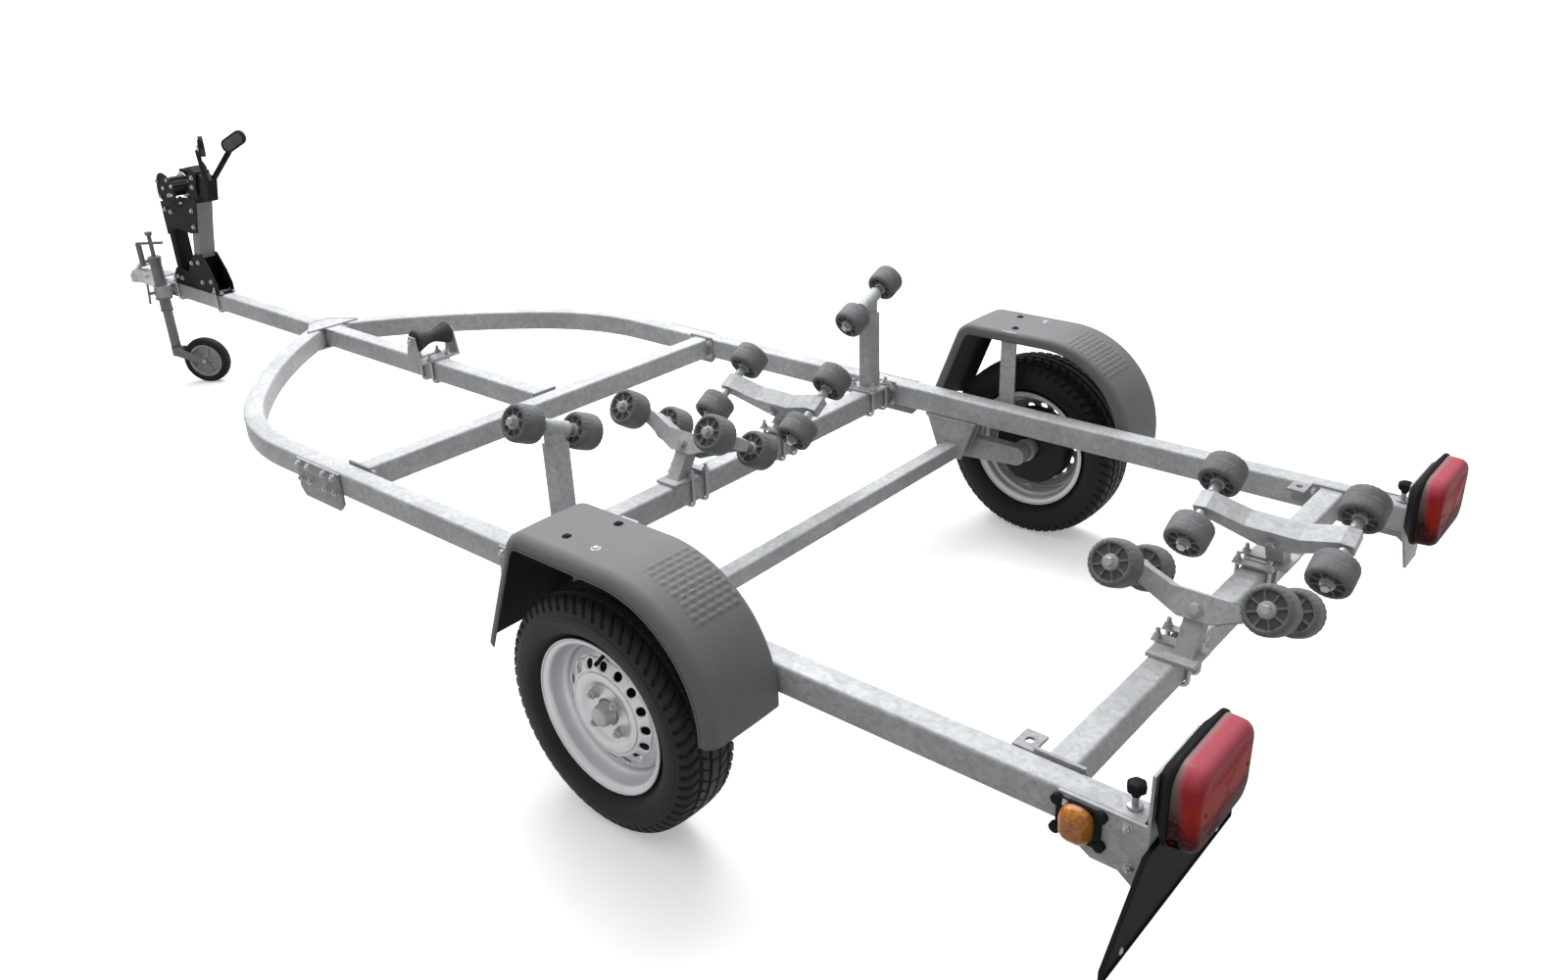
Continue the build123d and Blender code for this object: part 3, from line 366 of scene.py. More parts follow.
def filleted(points, radii, steps):
    """Open line in a plane whose inner corners are arcs of the given radii."""
    points = [np.array(p, float) for p in points]
    line = [points[0][None]]
    for before, corner, after, radius in zip(points, points[1:], points[2:], radii):
        a = (before - corner) / np.linalg.norm(before - corner)
        b = (after - corner) / np.linalg.norm(after - corner)
        half = np.arccos(np.clip(a @ b, -1, 1)) / 2
        centre = corner + (a + b) / np.linalg.norm(a + b) * radius / sin(half)
        start = corner + a * radius / tan(half) - centre
        end = corner + b * radius / tan(half) - centre
        sweep = pi - 2 * half
        turn = np.linspace(0, sweep, steps)[:, None]
        line.append(centre + (np.sin(sweep - turn) * start + np.sin(turn) * end) / sin(sweep))
    return np.concatenate(line + [points[-1][None]])


def rounded(width, height, radius, steps=6):
    """Closed rounded rectangle about the origin, anticlockwise, as four quarter circles."""
    loop = []
    for quarter, (sx, sy) in enumerate(((1, 1), (-1, 1), (-1, -1), (1, -1))):
        angle = (quarter + np.linspace(0, 1, steps)) * pi / 2
        centre = sx * (width / 2 - radius), sy * (height / 2 - radius)
        loop.append(centre + radius * np.stack([np.cos(angle), np.sin(angle)], -1))
    return np.concatenate(loop)


def raised(outline, z):
    """Flat outline at a height."""
    return np.column_stack([outline, np.full(len(outline), float(z))])


def full_turn(sides, start=0.0):
    """Angles all round, without the last one."""
    return np.linspace(0, 2 * pi, sides, endpoint=False) + start


def around(radius, angle, along):
    """Points about a place's Z: radius times cosine and sine of the angle, and the height along Z."""
    radius, along = (term if np.ndim(term) == 2 else np.reshape(term, (-1, 1)) for term in (radius, along))
    return np.stack(np.broadcast_arrays(radius * np.cos(angle), radius * np.sin(angle), along), -1)


class Piece:
    """Points and quads of one piece, gathered as whole arrays."""

    def __init__(self):
        self.points, self.quads, self.count = [], [], 0

    def grid(self, points, place=BASE, wrap_rows=False, wrap_columns=False, solid=True):
        """Surface through a rows x columns x 3 array. A solid one is turned outwards by its volume."""
        rows, columns = points.shape[:2]
        i, j = np.meshgrid(np.arange(rows if wrap_rows else rows - 1),
                           np.arange(columns if wrap_columns else columns - 1), indexing="ij")
        i2, j2 = (i + 1) % rows, (j + 1) % columns
        quads = [i * columns + j, i * columns + j2, i2 * columns + j2, i2 * columns + j]
        quads = np.stack(quads, -1).reshape(-1, 4)
        points = moved(points.reshape(-1, 3), place)
        if solid:
            a, b, c, d = [points[quads[:, k]] - points[0] for k in range(4)]
            if np.sum(a * (np.cross(b, c) + np.cross(c, d))) < 0:
                quads = quads[:, ::-1]
        self.points.append(points)
        self.quads.append(quads + self.count)
        self.count += rows * columns

    def turned(self, profile, sides, place, closed=False):
        """Surface of revolution: profile rows are (distance along the place's Z, radius)."""
        along, radius = np.asarray(profile, float).T
        self.grid(around(radius, full_turn(sides), along), place, wrap_rows=closed, wrap_columns=True)

    def stack(self, loops, place=BASE):
        """Closed form through loops of equal length, capped at both ends by their middles."""
        ends = [np.repeat(loop.mean(0)[None], len(loop), 0) for loop in (loops[0], loops[-1])]
        self.grid(np.array([ends[0], *loops, ends[1]]), place, wrap_columns=True)

    def slab(self, outline, low, high, place=BASE, edge=1.2):
        """Flat form of a closed outline between two heights, with rounded edges."""
        outline = np.asarray(outline, float)
        middle = outline.mean(0)
        reach = np.linalg.norm(outline - middle, axis=1, keepdims=True)
        shrunk = middle + (outline - middle) * (1 - edge / reach)
        self.stack([raised(shrunk, low), raised(outline, low + edge), raised(outline, high - edge),
                    raised(shrunk, high)], place)

    def box(self, x0, x1, y0, y1, z0, z1, place=BASE, edge=1.0):
        """Small block with softened edges."""
        self.slab([(x0, y0), (x1, y0), (x1, y1), (x0, y1)], z0, z1, place, edge)

    def pipe(self, path, radius, place=BASE, sides=10):
        """Round bar along a path of points, with closed ends; the radius may change along it."""
        path = np.asarray(path, float)
        ahead = np.gradient(path, axis=0)
        ahead /= np.linalg.norm(ahead, axis=1, keepdims=True)
        side = np.cross(ahead[0], (0.31, 0.87, 0.38))
        rows = []
        for step in ahead:
            side = side - step * np.dot(side, step)
            side /= np.linalg.norm(side)
            rows.append((side, np.cross(step, side)))
        angle = full_turn(sides)[:, None]
        u, v = np.array(rows).transpose(1, 0, 2)
        ring = np.cos(angle) * u[:, None] + np.sin(angle) * v[:, None]
        reach = np.concatenate([[0], np.broadcast_to(radius, len(path)), [0]])
        middle = np.concatenate([path[:1], path, path[-1:]])
        ring = np.concatenate([ring[:1], ring, ring[-1:]])
        self.grid(middle[:, None] + ring * reach[:, None, None], place, wrap_columns=True)

    def bolt(self, place, size=10.0, shank=0.0):
        """Hex head on a washer, out along the place's Z, with a thread that runs back into the surface."""
        low, high = 0.2 * size, 0.85 * size
        washer = [(0, 0), (0, 1.1 * size), (0.14 * size, 1.1 * size), (low, size), (low, 0)]
        self.turned(washer, 20, place)
        head = [(low, 0), (low, 0.92 * size), (high - 0.1 * size, 0.92 * size), (high, 0.78 * size),
                (high, 0)]
        self.turned(head, 6, place)
        if shank:
            end, reach = high + shank, size / 2
            self.turned([(low, 0), (low, reach), (end - 1, reach), (end, reach - 1), (end, 0)], 10, place)

    def u_bolt(self, place, half, depth, radius=5.0):
        """Bar bent round a tube: legs at both sides of the place's X, nuts above its Z, bottom below."""
        corner = radius + 9
        line = filleted([(-half, 20), (-half, -depth), (half, -depth), (half, 20)], (corner, corner), 6)
        self.pipe(np.column_stack([line[:, 0], np.zeros(len(line)), line[:, 1]]), radius, place, 8)
        for x in (-half, half):
            self.bolt(place @ Matrix.Translation((x, 0, 0)), 2 * radius)

    def side_bolt(self, s, x, y, z, size, shank=0.0):
        """Bolt on a face that looks outwards on side s."""
        self.bolt(seat(s * x, y, z, (s, 0, 0)), size, shank)

    def weld(self, start, end, radius=3.0):
        """Rippled bead between two points."""
        length = np.linalg.norm(np.subtract(end, start))
        steps = max(int(length / 2.2), 4)
        line = np.linspace(start, end, steps)
        self.pipe(line, radius * (1 + 0.14 * np.cos(np.arange(steps) * pi)), sides=6)

    def finish(self, name, slot, body, replaces=(), mat=None, sharp=34.0, merge=False):
        """Mesh object from the gathered arrays, riding on its CAD body; merge joins points that meet."""
        points = np.concatenate(self.points)
        quads = np.concatenate(self.quads)
        mesh = bpy.data.meshes.new(name)
        mesh.vertices.add(len(points))
        mesh.vertices.foreach_set("co", points.astype(np.float32).ravel())
        mesh.loops.add(quads.size)
        mesh.loops.foreach_set("vertex_index", quads.astype(np.int32).ravel())
        mesh.polygons.add(len(quads))
        mesh.polygons.foreach_set("loop_start", np.arange(0, quads.size, 4, dtype=np.int32))
        mesh.update(calc_edges=True)
        mesh.validate()
        if merge:
            work = bmesh.new()
            work.from_mesh(mesh)
            bmesh.ops.remove_doubles(work, verts=work.verts, dist=0.02 * MM)
            work.to_mesh(mesh)
            work.free()
        mesh.polygons.foreach_set("use_smooth", np.ones(len(mesh.polygons), bool))
        mesh.set_sharp_from_angle(angle=radians(sharp))
        mesh.materials.append(mat or MATS[slot])
        obj = bpy.data.objects.new(name, mesh)
        bpy.context.collection.objects.link(obj)
        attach(obj, body)
        if replaces:
            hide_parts(*replaces)
        return obj


def thickened(obj, sheet):
    """Sheet metal or plastic of an even thickness about the surface."""
    wall = obj.modifiers.new("wall", "SOLIDIFY")
    wall.thickness = sheet * MM
    wall.offset = 0.0
    return wall


# --------------------------------------------------------- wheels and guards

def wheel_place(side):
    """Place at the wheel's middle, its Z out along the axle."""
    return seat(side * WHEEL_X, 0, TYRE_R, (side, 0, 0))


def tyre(side_name, side):
    """Closed torus: the carcass outline moved inwards by four round grooves, slanted shoulder slots,
    short cuts in the middle ribs and fine rings on the sidewalls."""
    pitches, steps = 60, 8               # blocks round the tyre and points along each
    tread_edge, slot_edge = 262, 252     # radii down to which grooves and shoulder slots reach
    half = [(52, SEAT_R + 3.2), (52, 188), (72, 200), (80, 222), (78, 241), (72, tread_edge), (63, 275),
            (44, 279.5), (16, TYRE_R)]
    outline = spread(softened(half + [(-x, r) for x, r in reversed(half)], 2), 150)
    tangent = np.gradient(outline, axis=0)
    inward = np.stack([-tangent[:, 1], tangent[:, 0]], -1) / np.linalg.norm(tangent, axis=1, keepdims=True)
    x, r = outline.T
    angle = full_turn(pitches * steps)
    wide = np.abs(x)[:, None]
    tread = (r > tread_edge)[:, None]
    pitch = (angle * pitches / (2 * pi))[None, :]
    depth = np.zeros((len(x), len(angle)))
    for groove in (13, 40):
        depth = np.maximum(depth, 6.5 * np.clip(1.7 - np.abs(wide - groove) / 2.6, 0, 1) * tread)
    slant = np.sign(x)[:, None] * 0.25 + wide * 0.028
    slot = ((pitch + slant) % 1 < 0.27) & (wide > 43) & (r > slot_edge)[:, None]
    cut = ((pitch - slant) % 1 < 0.14) & (wide > 17) & (wide < 36) & tread
    notch = ((pitch * 0.5 + 0.3) % 1 < 0.1) & (wide < 10)
    depth = np.maximum(depth, np.where(slot, 5.5, np.where(cut, 4.5, np.where(notch, 3.5, 0))))
    fine_rings = np.isin(np.round((r - 203) / 2.7), (0, 2, 4))[:, None] & ~tread
    wide_ring = (np.abs(r - 238) < 3)[:, None] & (wide > 60)
    depth = depth - 0.8 * fine_rings - 1.0 * wide_ring
    face = outline[:, None] + inward[:, None] * depth[..., None]
    piece = Piece()
    points = around(face[..., 1], angle, face[..., 0])
    piece.grid(points, wheel_place(side), wrap_rows=True, wrap_columns=True)
    piece.finish(f"{side_name}_tyre_treaded", "tyre", f"{side_name}_wheel", (f"{side_name}_tyre",), sharp=40)


def wheel_disc_height(r):
    """Distance of the pressed disc outboard of the wheel's middle plane, at a radius."""
    radius = (30, 58, 64, 74, 82, 98, 106, 124, 132, 142, 149)
    height = (32, 32, 33, 39, 41, 41, 38, 29, 22, 15, 6)
    line = softened(np.column_stack([radius, height]), 2)
    return np.interp(r, line[:, 0], line[:, 1])


def rim(side_name, side):
    """Rolled barrel and a pressed disc. Each vent's field is a grid from its hole's edge out to
    a sector's border, and the disc's height is a function of the radius with a lip at each hole."""
    place = wheel_place(side)
    seat_r = SEAT_R + 1
    barrel = [(-63, 181.5), (-61, 182.6), (-57, 179.6), (-55, seat_r), (-38, seat_r - 2), (-29, seat_r - 16),
              (10, seat_r - 16), (24, seat_r - 2), (55, seat_r), (57, 179.6), (61, 182.6), (63, 181.5)]
    piece = Piece()
    along, radius = spread(softened(barrel, 2), 70).T
    piece.grid(around(radius, full_turn(128), along), place, wrap_columns=True, solid=False)
    vents, hole, inner, outer, ring = 16, 11.0, 97.0, 129.0, 113.0
    width = pi / vents                   # half the angle of a vent's sector
    edge = np.linspace(-1, 1, 9)[:-1]
    fall = outer - (edge + 1) / 2 * (outer - inner)
    sector_sides = ((outer, -edge * width), (fall, -width), (inner, edge * width),
                    (inner + outer - fall, width))
    border = np.concatenate([np.stack(np.broadcast_arrays(r, turn), -1) for r, turn in sector_sides])
    bearing = np.arctan2(ring * border[:, 1], border[:, 0] - ring)
    mouth = np.stack([ring + hole * np.cos(bearing), hole * np.sin(bearing) / ring], -1)
    share = np.array([0, 0.12, 0.3, 0.6, 1.0])[:, None, None]
    field = mouth + (border - mouth) * share
    lip = np.array([-2.4, -0.8, 0, 0, 0])[:, None]
    for vent in range(vents):
        turn = field[..., 1] + 2 * pi * vent / vents
        height = wheel_disc_height(field[..., 0]) + lip
        piece.grid(around(field[..., 0], turn, height), place, wrap_columns=True, solid=False)
    for low, high, count in ((30.6, inner, 34), (outer, 149.0, 12)):
        radius = np.linspace(low, high, count)
        whole_ring = around(radius, full_turn(vents * 8, width), wheel_disc_height(radius))
        piece.grid(whole_ring, place, wrap_columns=True, solid=False)
    obj = piece.finish(f"{side_name}_wheel_rim", "silver_rim", f"{side_name}_wheel", (f"{side_name}_rim",),
                       sharp=50, merge=True)
    thickened(obj, 3.4)


def hub(side_name, side):
    """Turned barrel and flange with a domed grease cap, four studs with cone nuts and a tyre valve."""
    place = wheel_place(side)
    disc_face, bolt_circle = 33.8, 100.0
    piece = Piece()
    barrel = [(-84, 0), (-84, 33), (-82, 34), (-67, 34), (-60, 28), (3, 30), (18, 40), (18, 66), (20, 68),
              (28, 68), (29.6, 66), (29.6, 28), (38, 27), (40, 25)]
    piece.turned(barrel, 64, place)
    cap = [(38, 0), (38, 25), (43, 26.2), (45, 25.2), (56, 24.4), (62, 22), (65, 16), (66, 8), (66, 0)]
    piece.turned(cap, 48, place)
    for quarter in range(4):
        turn = radians(45 + 90 * quarter)
        spot = (bolt_circle / 2 * cos(turn), bolt_circle / 2 * sin(turn), disc_face)
        stud = place @ Matrix.Translation(spot)
        piece.turned([(0, 0), (0, 13.5), (3, 12.5), (4, 11.5), (4, 0)], 24, stud)
        piece.turned([(4, 0), (4, 10.6), (14, 10.6), (16, 8.8), (16, 0)], 6, stud)
        piece.turned([(16, 0), (16, 5.6), (21, 5.6), (22, 4.6), (22, 0)], 12, stud)
    piece.finish(f"{side_name}_wheel_hub", "hub_iron", f"{side_name}_wheel", (f"{side_name}_hub",))
    drum = Piece()
    outline = [(-50, 35), (-50, 108), (-46, 114), (-40, 117), (-36, 113), (4, 113), (6, 118), (12, 118),
               (14, 114), (16, 70), (16, 31)]
    drum.turned(outline, 96, place, closed=True)
    drum.finish(f"{side_name}_brake_drum", "hub_iron", f"{side_name}_wheel", mat=DRUM_IRON, sharp=40)
    valve = Piece()
    stem = place @ Matrix.Translation((0, 140, 24)) @ Matrix.Rotation(radians(24), 4, "X")
    outline = [(-8, 0), (-8, 7), (2, 6), (8, 4.5), (24, 4), (24, 4.8), (33, 4.8), (34, 4), (34, 0)]
    valve.turned(outline, 16, stem)
    valve.finish(f"{side_name}_tyre_valve", "black_plastic", f"{side_name}_wheel")


def mudguard(side_name, side):
    """Skin: a section with rolled edges carried along the arch. Its rear slope has raised grip bars."""
    (inner, _, foot), (outer, rear, top) = corners("left_mudguard")
    sheet, drop = 3.0, 30.0              # thickness, and depth of the turned-down edges
    mid = sheet / 2
    front, slope = -217.0, radians(22)   # where the front slope starts, and its lean
    low_front = front - (top - foot) * tan(slope)
    arch = [(low_front + mid, foot), (front + mid, top - mid), (rear - mid, top - mid), (rear - mid, foot)]
    line = spread(filleted(arch, (62 - mid, 285 - mid), 40), 270)
    ahead = np.gradient(line, axis=0)
    ahead /= np.linalg.norm(ahead, axis=1, keepdims=True)
    out = np.stack([-ahead[:, 1], ahead[:, 0]], -1)
    low_x, high_x, crown_x = inner + 2.5, outer - 2.8, 865.0
    section = filleted([(low_x, drop), (low_x, 0), (high_x, 0), (high_x, drop)], (14, 26), 8)
    inner_lip, outer_lip = section[:8], section[-9:]
    flat = np.column_stack([np.linspace(inner_lip[-1][0], outer_lip[0][0], 46)[1:-1], np.zeros(44)])
    section = np.concatenate([section[:1], section[:1] - [0, 8], inner_lip[1:], flat, outer_lip[:-1],
                              section[-1:] - [0, 8], section[-1:]])
    x, fall = section.T
    crown = 2.0 * (1 - ((x - crown_x) / 105) ** 2) * (fall < 1)
    lean = np.degrees(np.arctan2(out[:, 0], out[:, 1]))[:, None]
    run = np.linspace(0, np.linalg.norm(np.diff(line, axis=0), axis=1).sum(), len(line))[:, None]
    on_slope = (lean > 12) & (lean < 47)
    across = (x > 776) & (x < 902)
    bars = (run / 15.5 % 1 < 0.5) & ((x / 24.0 + np.floor(run / 15.5) * 0.5) % 1 < 0.68)
    lift = crown - 2.0 + 2.4 * (on_slope & across & bars)
    bead = 1.2 * (fall > drop - 5)
    depth = fall - lift
    points = np.stack([np.broadcast_to(side * (x + bead * np.sign(x - crown_x)), depth.shape),
                       line[:, :1] - out[:, :1] * depth, line[:, 1:] - out[:, 1:] * depth], -1)
    piece = Piece()
    piece.grid(points if side > 0 else points[:, ::-1], solid=False)
    obj = piece.finish(f"{side_name}_wheel_guard", "guard_plastic", "frame", (f"{side_name}_mudguard",),
                       sharp=60)
    # The inside of the skin takes the near-black plastic, painted shade under the arch.
    obj.data.materials.append(GUARD_PAINTED_SHADE)
    thickened(obj, sheet).material_offset = 1
    bolts, dark_bolts = Piece(), Piece()
    dome = [(0, 0), (0, 11), (1.2, 11), (1.6, 8), (4.2, 6.5), (5.6, 3), (5.8, 0)]
    for group, spot_x, spot_y in ((bolts, 903, -2), (dark_bolts, 903, -90), (dark_bolts, 800, -46)):
        group.turned(dome, 24, seat(side * spot_x, spot_y, top - 1.4))
    bolts.finish(f"{side_name}_guard_bolts", "zinc_plate", "frame")
    dark_bolts.finish(f"{side_name}_guard_rivets", "black_plastic", "frame")


for side_name, side in SIDES:
    tyre(side_name, side)
    rim(side_name, side)
    hub(side_name, side)
    mudguard(side_name, side)


# --------------------------------------------------------------------- rails

BENDS = ((725.0, 34.0), (2050.0, 22.0))   # radius and degrees of a rail's two arcs, from the rear
POST_X = 622.0           # side post, from the middle
PLATE_T, LAMP_PLATE_T = 8.0, 6.0   # plates on the rails: crossbeams and saddles, and lamp brackets
KEEL = np.round(centre_of("keel_roller"), 1)


def rail_path():
    """Straight from the rear, then an arc for each bend; with it the heading at the end."""
    line = [np.array([(RAIL_X, y) for y in (RAIL_REAR, 300, -600, BEND_Y)])]
    spot, heading = line[0][-1], 0.0
    for radius, sweep in BENDS:
        turn = heading + np.linspace(0, radians(sweep), 31)[1:]
        centre = spot - radius * np.array([cos(heading), -sin(heading)])
        line.append(centre + radius * np.stack([np.cos(turn), -np.sin(turn)], -1))
        spot, heading = line[-1][-1], turn[-1]
    return np.concatenate(line), heading


def side_rail(side_name, side):
    """Rounded tube section carried along the rail's path and cut flat against the drawbar."""
    line, heading = rail_path()
    ahead = np.gradient(line, axis=0)
    ahead /= np.linalg.norm(ahead, axis=1, keepdims=True)
    ahead[-1] = (-sin(heading), -cos(heading))
    across = np.stack([-ahead[:, 1], ahead[:, 0]], -1)
    section = rounded(TUBE_W, TUBE_H, TUBE_EDGE)
    flat = line[:, None] + across[:, None] * section[:, :1]
    to_drawbar = (TUBE_W / 2 - flat[-1, :, 0]) / ahead[-1, 0]
    flat[-1] += to_drawbar[:, None] * ahead[-1]
    height = np.broadcast_to(FRAME_MID + section[:, 1], flat.shape[:2])
    piece = Piece()
    piece.stack(np.stack([side * flat[..., 0], flat[..., 1], height], -1))
    piece.finish(f"{side_name}_long_rail", "galvanised_steel", "frame", (f"{side_name}_side_rail",), sharp=50)


def end_plugs():
    """Plastic plugs in the open ends of the rails and the drawbar."""
    piece = Piece()
    section = rounded(TUBE_W, TUBE_H, TUBE_EDGE)
    for _, s in SIDES:
        piece.slab(section, 0, 4.5, seat(s * RAIL_X, RAIL_REAR, FRAME_MID, (0, 1, 0)), 1.5)
    piece.slab(section, 0, 3.5, seat(0, DRAWBAR_FRONT, FRAME_MID, (0, -1, 0)), 1.2)
    piece.finish("rail_end_plugs", "black_plastic", "frame")


def plate_bolts():
    """Bolts of the crossbeams' and rails' plates, axle saddles, lamp brackets and drawbar plate."""
    piece = Piece()
    axle_y = centre_of("axle_tube")[1]
    for _, s in SIDES:
        for beam, dy, dz in product(BEAMS.values(), (-41, 41), (-22, 22)):
            piece.bolt(seat(s * (RAIL_IN - PLATE_T), beam + dy, FRAME_MID + dz, (-s, 0, 0)), 10, 6)
        for dy, dz in product((-88, -40, 40, 88), (-24, 20)):
            piece.side_bolt(s, RAIL_OUT + PLATE_T, BEAMS["front"] - 110 + dy, FRAME_MID + dz, 11, 5)
        for dy, dz in product((-68, 68), (-26, 20)):
            piece.side_bolt(s, RAIL_OUT + PLATE_T, BEAMS["middle"] + dy, FRAME_MID + dz, 11, 5)
        for dy, x in product((-70, 70), (RAIL_IN + 22, RAIL_OUT - 34)):
            piece.bolt(seat(s * x, axle_y + dy, FRAME_LOW - PLATE_T, (0, 0, -1)), 10, 8)
        for y, z in ((990, 432), (1100, 432), (1110, 352)):
            piece.side_bolt(s, RAIL_OUT + LAMP_PLATE_T, y, z, 9, 4)
    for x, dz in product((-38, 38), (-24, 24)):
        piece.bolt(seat(x, BEAMS["front"] - 38, FRAME_MID + dz, (0, -1, 0)), 10, 6)
    piece.finish("plate_bolts", "zinc_plate", "frame")


def strap_clamp(piece, x, y, rise, plate, half, depth, along=(0, 1, 0)):
    """U-bolt over a strap plate above the frame; plate is its half length, half width and sheet."""
    long, wide, sheet = plate
    place = seat(x, y, FRAME_TOP + rise, along=along)
    piece.box(-long, long, -wide, wide, 0, sheet, place)
    piece.u_bolt(place @ Matrix.Translation((0, 0, sheet)), half, depth)


def clamps():
    """U-bolts with strap plates round the crossbeams, the rails and the drawbar."""
    piece = Piece()
    for _, s in SIDES:
        for (beam, foot_x), dx in product((("middle", 188), ("rear", 204)), (-26, 26)):
            strap_clamp(piece, s * (foot_x + dx), BEAMS[beam], 8, (46, 11, 5), 36, 90)
        for dx in (-34, 34):
            strap_clamp(piece, s * (POST_X + dx), BEAMS["middle"], 8, (48, 10, 5), 37, 90)
    for y in (-3672, -3330, KEEL[1] - 30, KEEL[1] + 30):
        strap_clamp(piece, 0, y, 6, (45, 9, 4), 36, 86, along=(1, 0, 0))
    piece.finish("beam_clamps", "zinc_plate", "frame")


def weld_beads():
    """Beads at the gussets, saddles, stems and stays."""
    piece = Piece()
    gusset_front, gusset_rear = -2602.6, -2500.6
    beam_end = RAIL_IN - PLATE_T

    def weld_along(x, y, half, z):
        piece.weld((x, y - half, z), (x, y + half, z))

    for z in (FRAME_TOP + 6, FRAME_LOW - 6):
        for s in (1, -1):
            piece.weld((s * 34, gusset_front, z), (s * 104, gusset_rear, z))
        piece.weld((-34, gusset_front, z), (34, gusset_front, z))
    for s in (1, -1):
        for dz, beam in product((-34, 34), BEAMS.values()):
            weld_along(s * beam_end, beam, 28, FRAME_MID + dz)
        weld_along(s * (TUBE_W / 2 + 1), -2488, 32, FRAME_TOP - 1)
        for x in (RAIL_IN + 3, RAIL_OUT - 15):
            weld_along(s * x, centre_of("axle_tube")[1], 84, FRAME_LOW - 8)
        for dx in (-23, 23):
            weld_along(s * (POST_X + dx), BEAMS["middle"], 23, FRAME_TOP + 9)
    piece.finish("weld_beads", "galvanised_steel", "frame", sharp=80)


# ------------------------------------------------------------------- rollers

ROLLER_HALF, PAIR_HALF = 33.0, 92.0       # half a roller's width, and from an axle's middle to its rollers
CRADLE_TILT = {"middle": 32, "rear": 27}
POST_TILT = 24


def ribbed_roller(piece, core, place, radius, ribs=24):
    """Barrel whose shoulders are notched by a wave round the axis, hollow ends with spokes, and a hub."""
    h, bore = ROLLER_HALF, radius - 15
    half = softened([(h - 10, radius - 14), (h, radius - 13), (h, radius - 7), (h - 4, radius - 1.5),
                     (h - 14, radius), (0, radius)], 3)
    half[0] = h - 10, bore
    half = spread(half, 22)
    profile = np.concatenate([half, half[::-1] * (-1, 1)])
    angle = full_turn(ribs * 4)
    along, reach = profile.T[..., None]
    shoulder = np.clip((np.abs(along) - 12) / 14, 0, 1) * (reach > radius - 12)
    wave = 1.4 * np.clip(np.cos(ribs * angle) * 2 - 0.6, 0, 1) * shoulder
    grooves = np.clip(1 - np.abs(np.abs(along) - 8) / 1.6, 0, 1)
    front = around((0, bore), angle, (h - 11, h - 11))
    barrel = around(reach - wave - grooves, angle, along)
    back = around((bore, 0), angle, (11 - h, 11 - h))
    piece.grid(np.concatenate([front, barrel, back]), place, wrap_columns=True)
    bush = np.array([(h - 11, 0), (h - 11, 18), (h - 1.5, 17), (h - 0.5, 15.5), (h - 0.5, 0)])
    for end in (1, -1):
        low, high = sorted((end * (h - 12), end * (h - 3)))
        for k in range(8):
            spoke = place @ Matrix.Rotation(2 * pi * (k + 0.5) / 8, 4, "Z")
            piece.box(15, radius - 12, -2.2, 2.2, low, high, spoke, 0.8)
        core.turned(bush * (end, 1), 28, place)


def axle_nut(piece, place):
    """Washer and lock nut on a roller's axle."""
    piece.turned([(0, 0), (0, 14), (2, 14), (2, 0)], 20, place)
    piece.turned([(2, 0), (2, 11), (9, 11), (10, 10), (12, 9), (12, 0)], 6, place)


def roller_group(node, carrier, tilt, radius, side):
    """Both ribbed rollers of one axle; the nuts belong to the carrier, which holds the axle."""
    centre = Vector(centre_of(node))
    axis = Vector((side * cos(radians(tilt)), 0, sin(radians(tilt))))
    rubber, core, nuts = Piece(), Piece(), Piece()

    def on_axle(step, end=1):
        return seat(*(centre + axis * end * step), axis * end)

    for step in (-PAIR_HALF, PAIR_HALF):
        ribbed_roller(rubber, core, on_axle(step), radius)
    for end in (-1, 1):
        axle_nut(nuts, on_axle(PAIR_HALF + ROLLER_HALF + 1, end))
    for end in (-1, 1):
        nuts.turned([(0, 0), (0, 13), (27, 13), (28, 12), (28, 0)], 20, on_axle(30, end))
    rubber.finish(f"{node}_ribbed", "roller_rubber", node, (node,), sharp=45)
    core.finish(f"{node}_bushes", "roller_rubber", node, mat=ROLLER_HUB)
    nuts.finish(f"{node}_axle_nuts", "zinc_plate", carrier)


def rocker_pivots():
    """Pivot bolts through the rockers and the posts' heads, on the fixed stems."""
    piece = Piece()
    drop, half = 45, 25.5                # cradle's centre to its pivot, and half the pivot's length
    for cradle, tilt in CRADLE_TILT.items():
        x, _, z = centre_of(f"{cradle}_left_front_rollers")
        y = centre_of(f"{cradle}_left_rocker")[1]
        t = radians(tilt)
        for _, s in SIDES:
            axis = Vector((s * cos(t), 0, sin(t)))
            spot = Vector((s * (x + drop * sin(t)), y, z - drop * cos(t)))
            for end in (-1, 1):
                place = seat(*(spot + axis * end * half), axis * end)
                piece.turned([(0, 0), (0, 15), (2.5, 15), (2.5, 0)], 20, place)
                piece.turned([(2.5, 0), (2.5, 12), (10, 12), (11, 10), (11, 0)], 6, place)
    piece.finish("rocker_pivot_nuts", "zinc_plate", "frame")


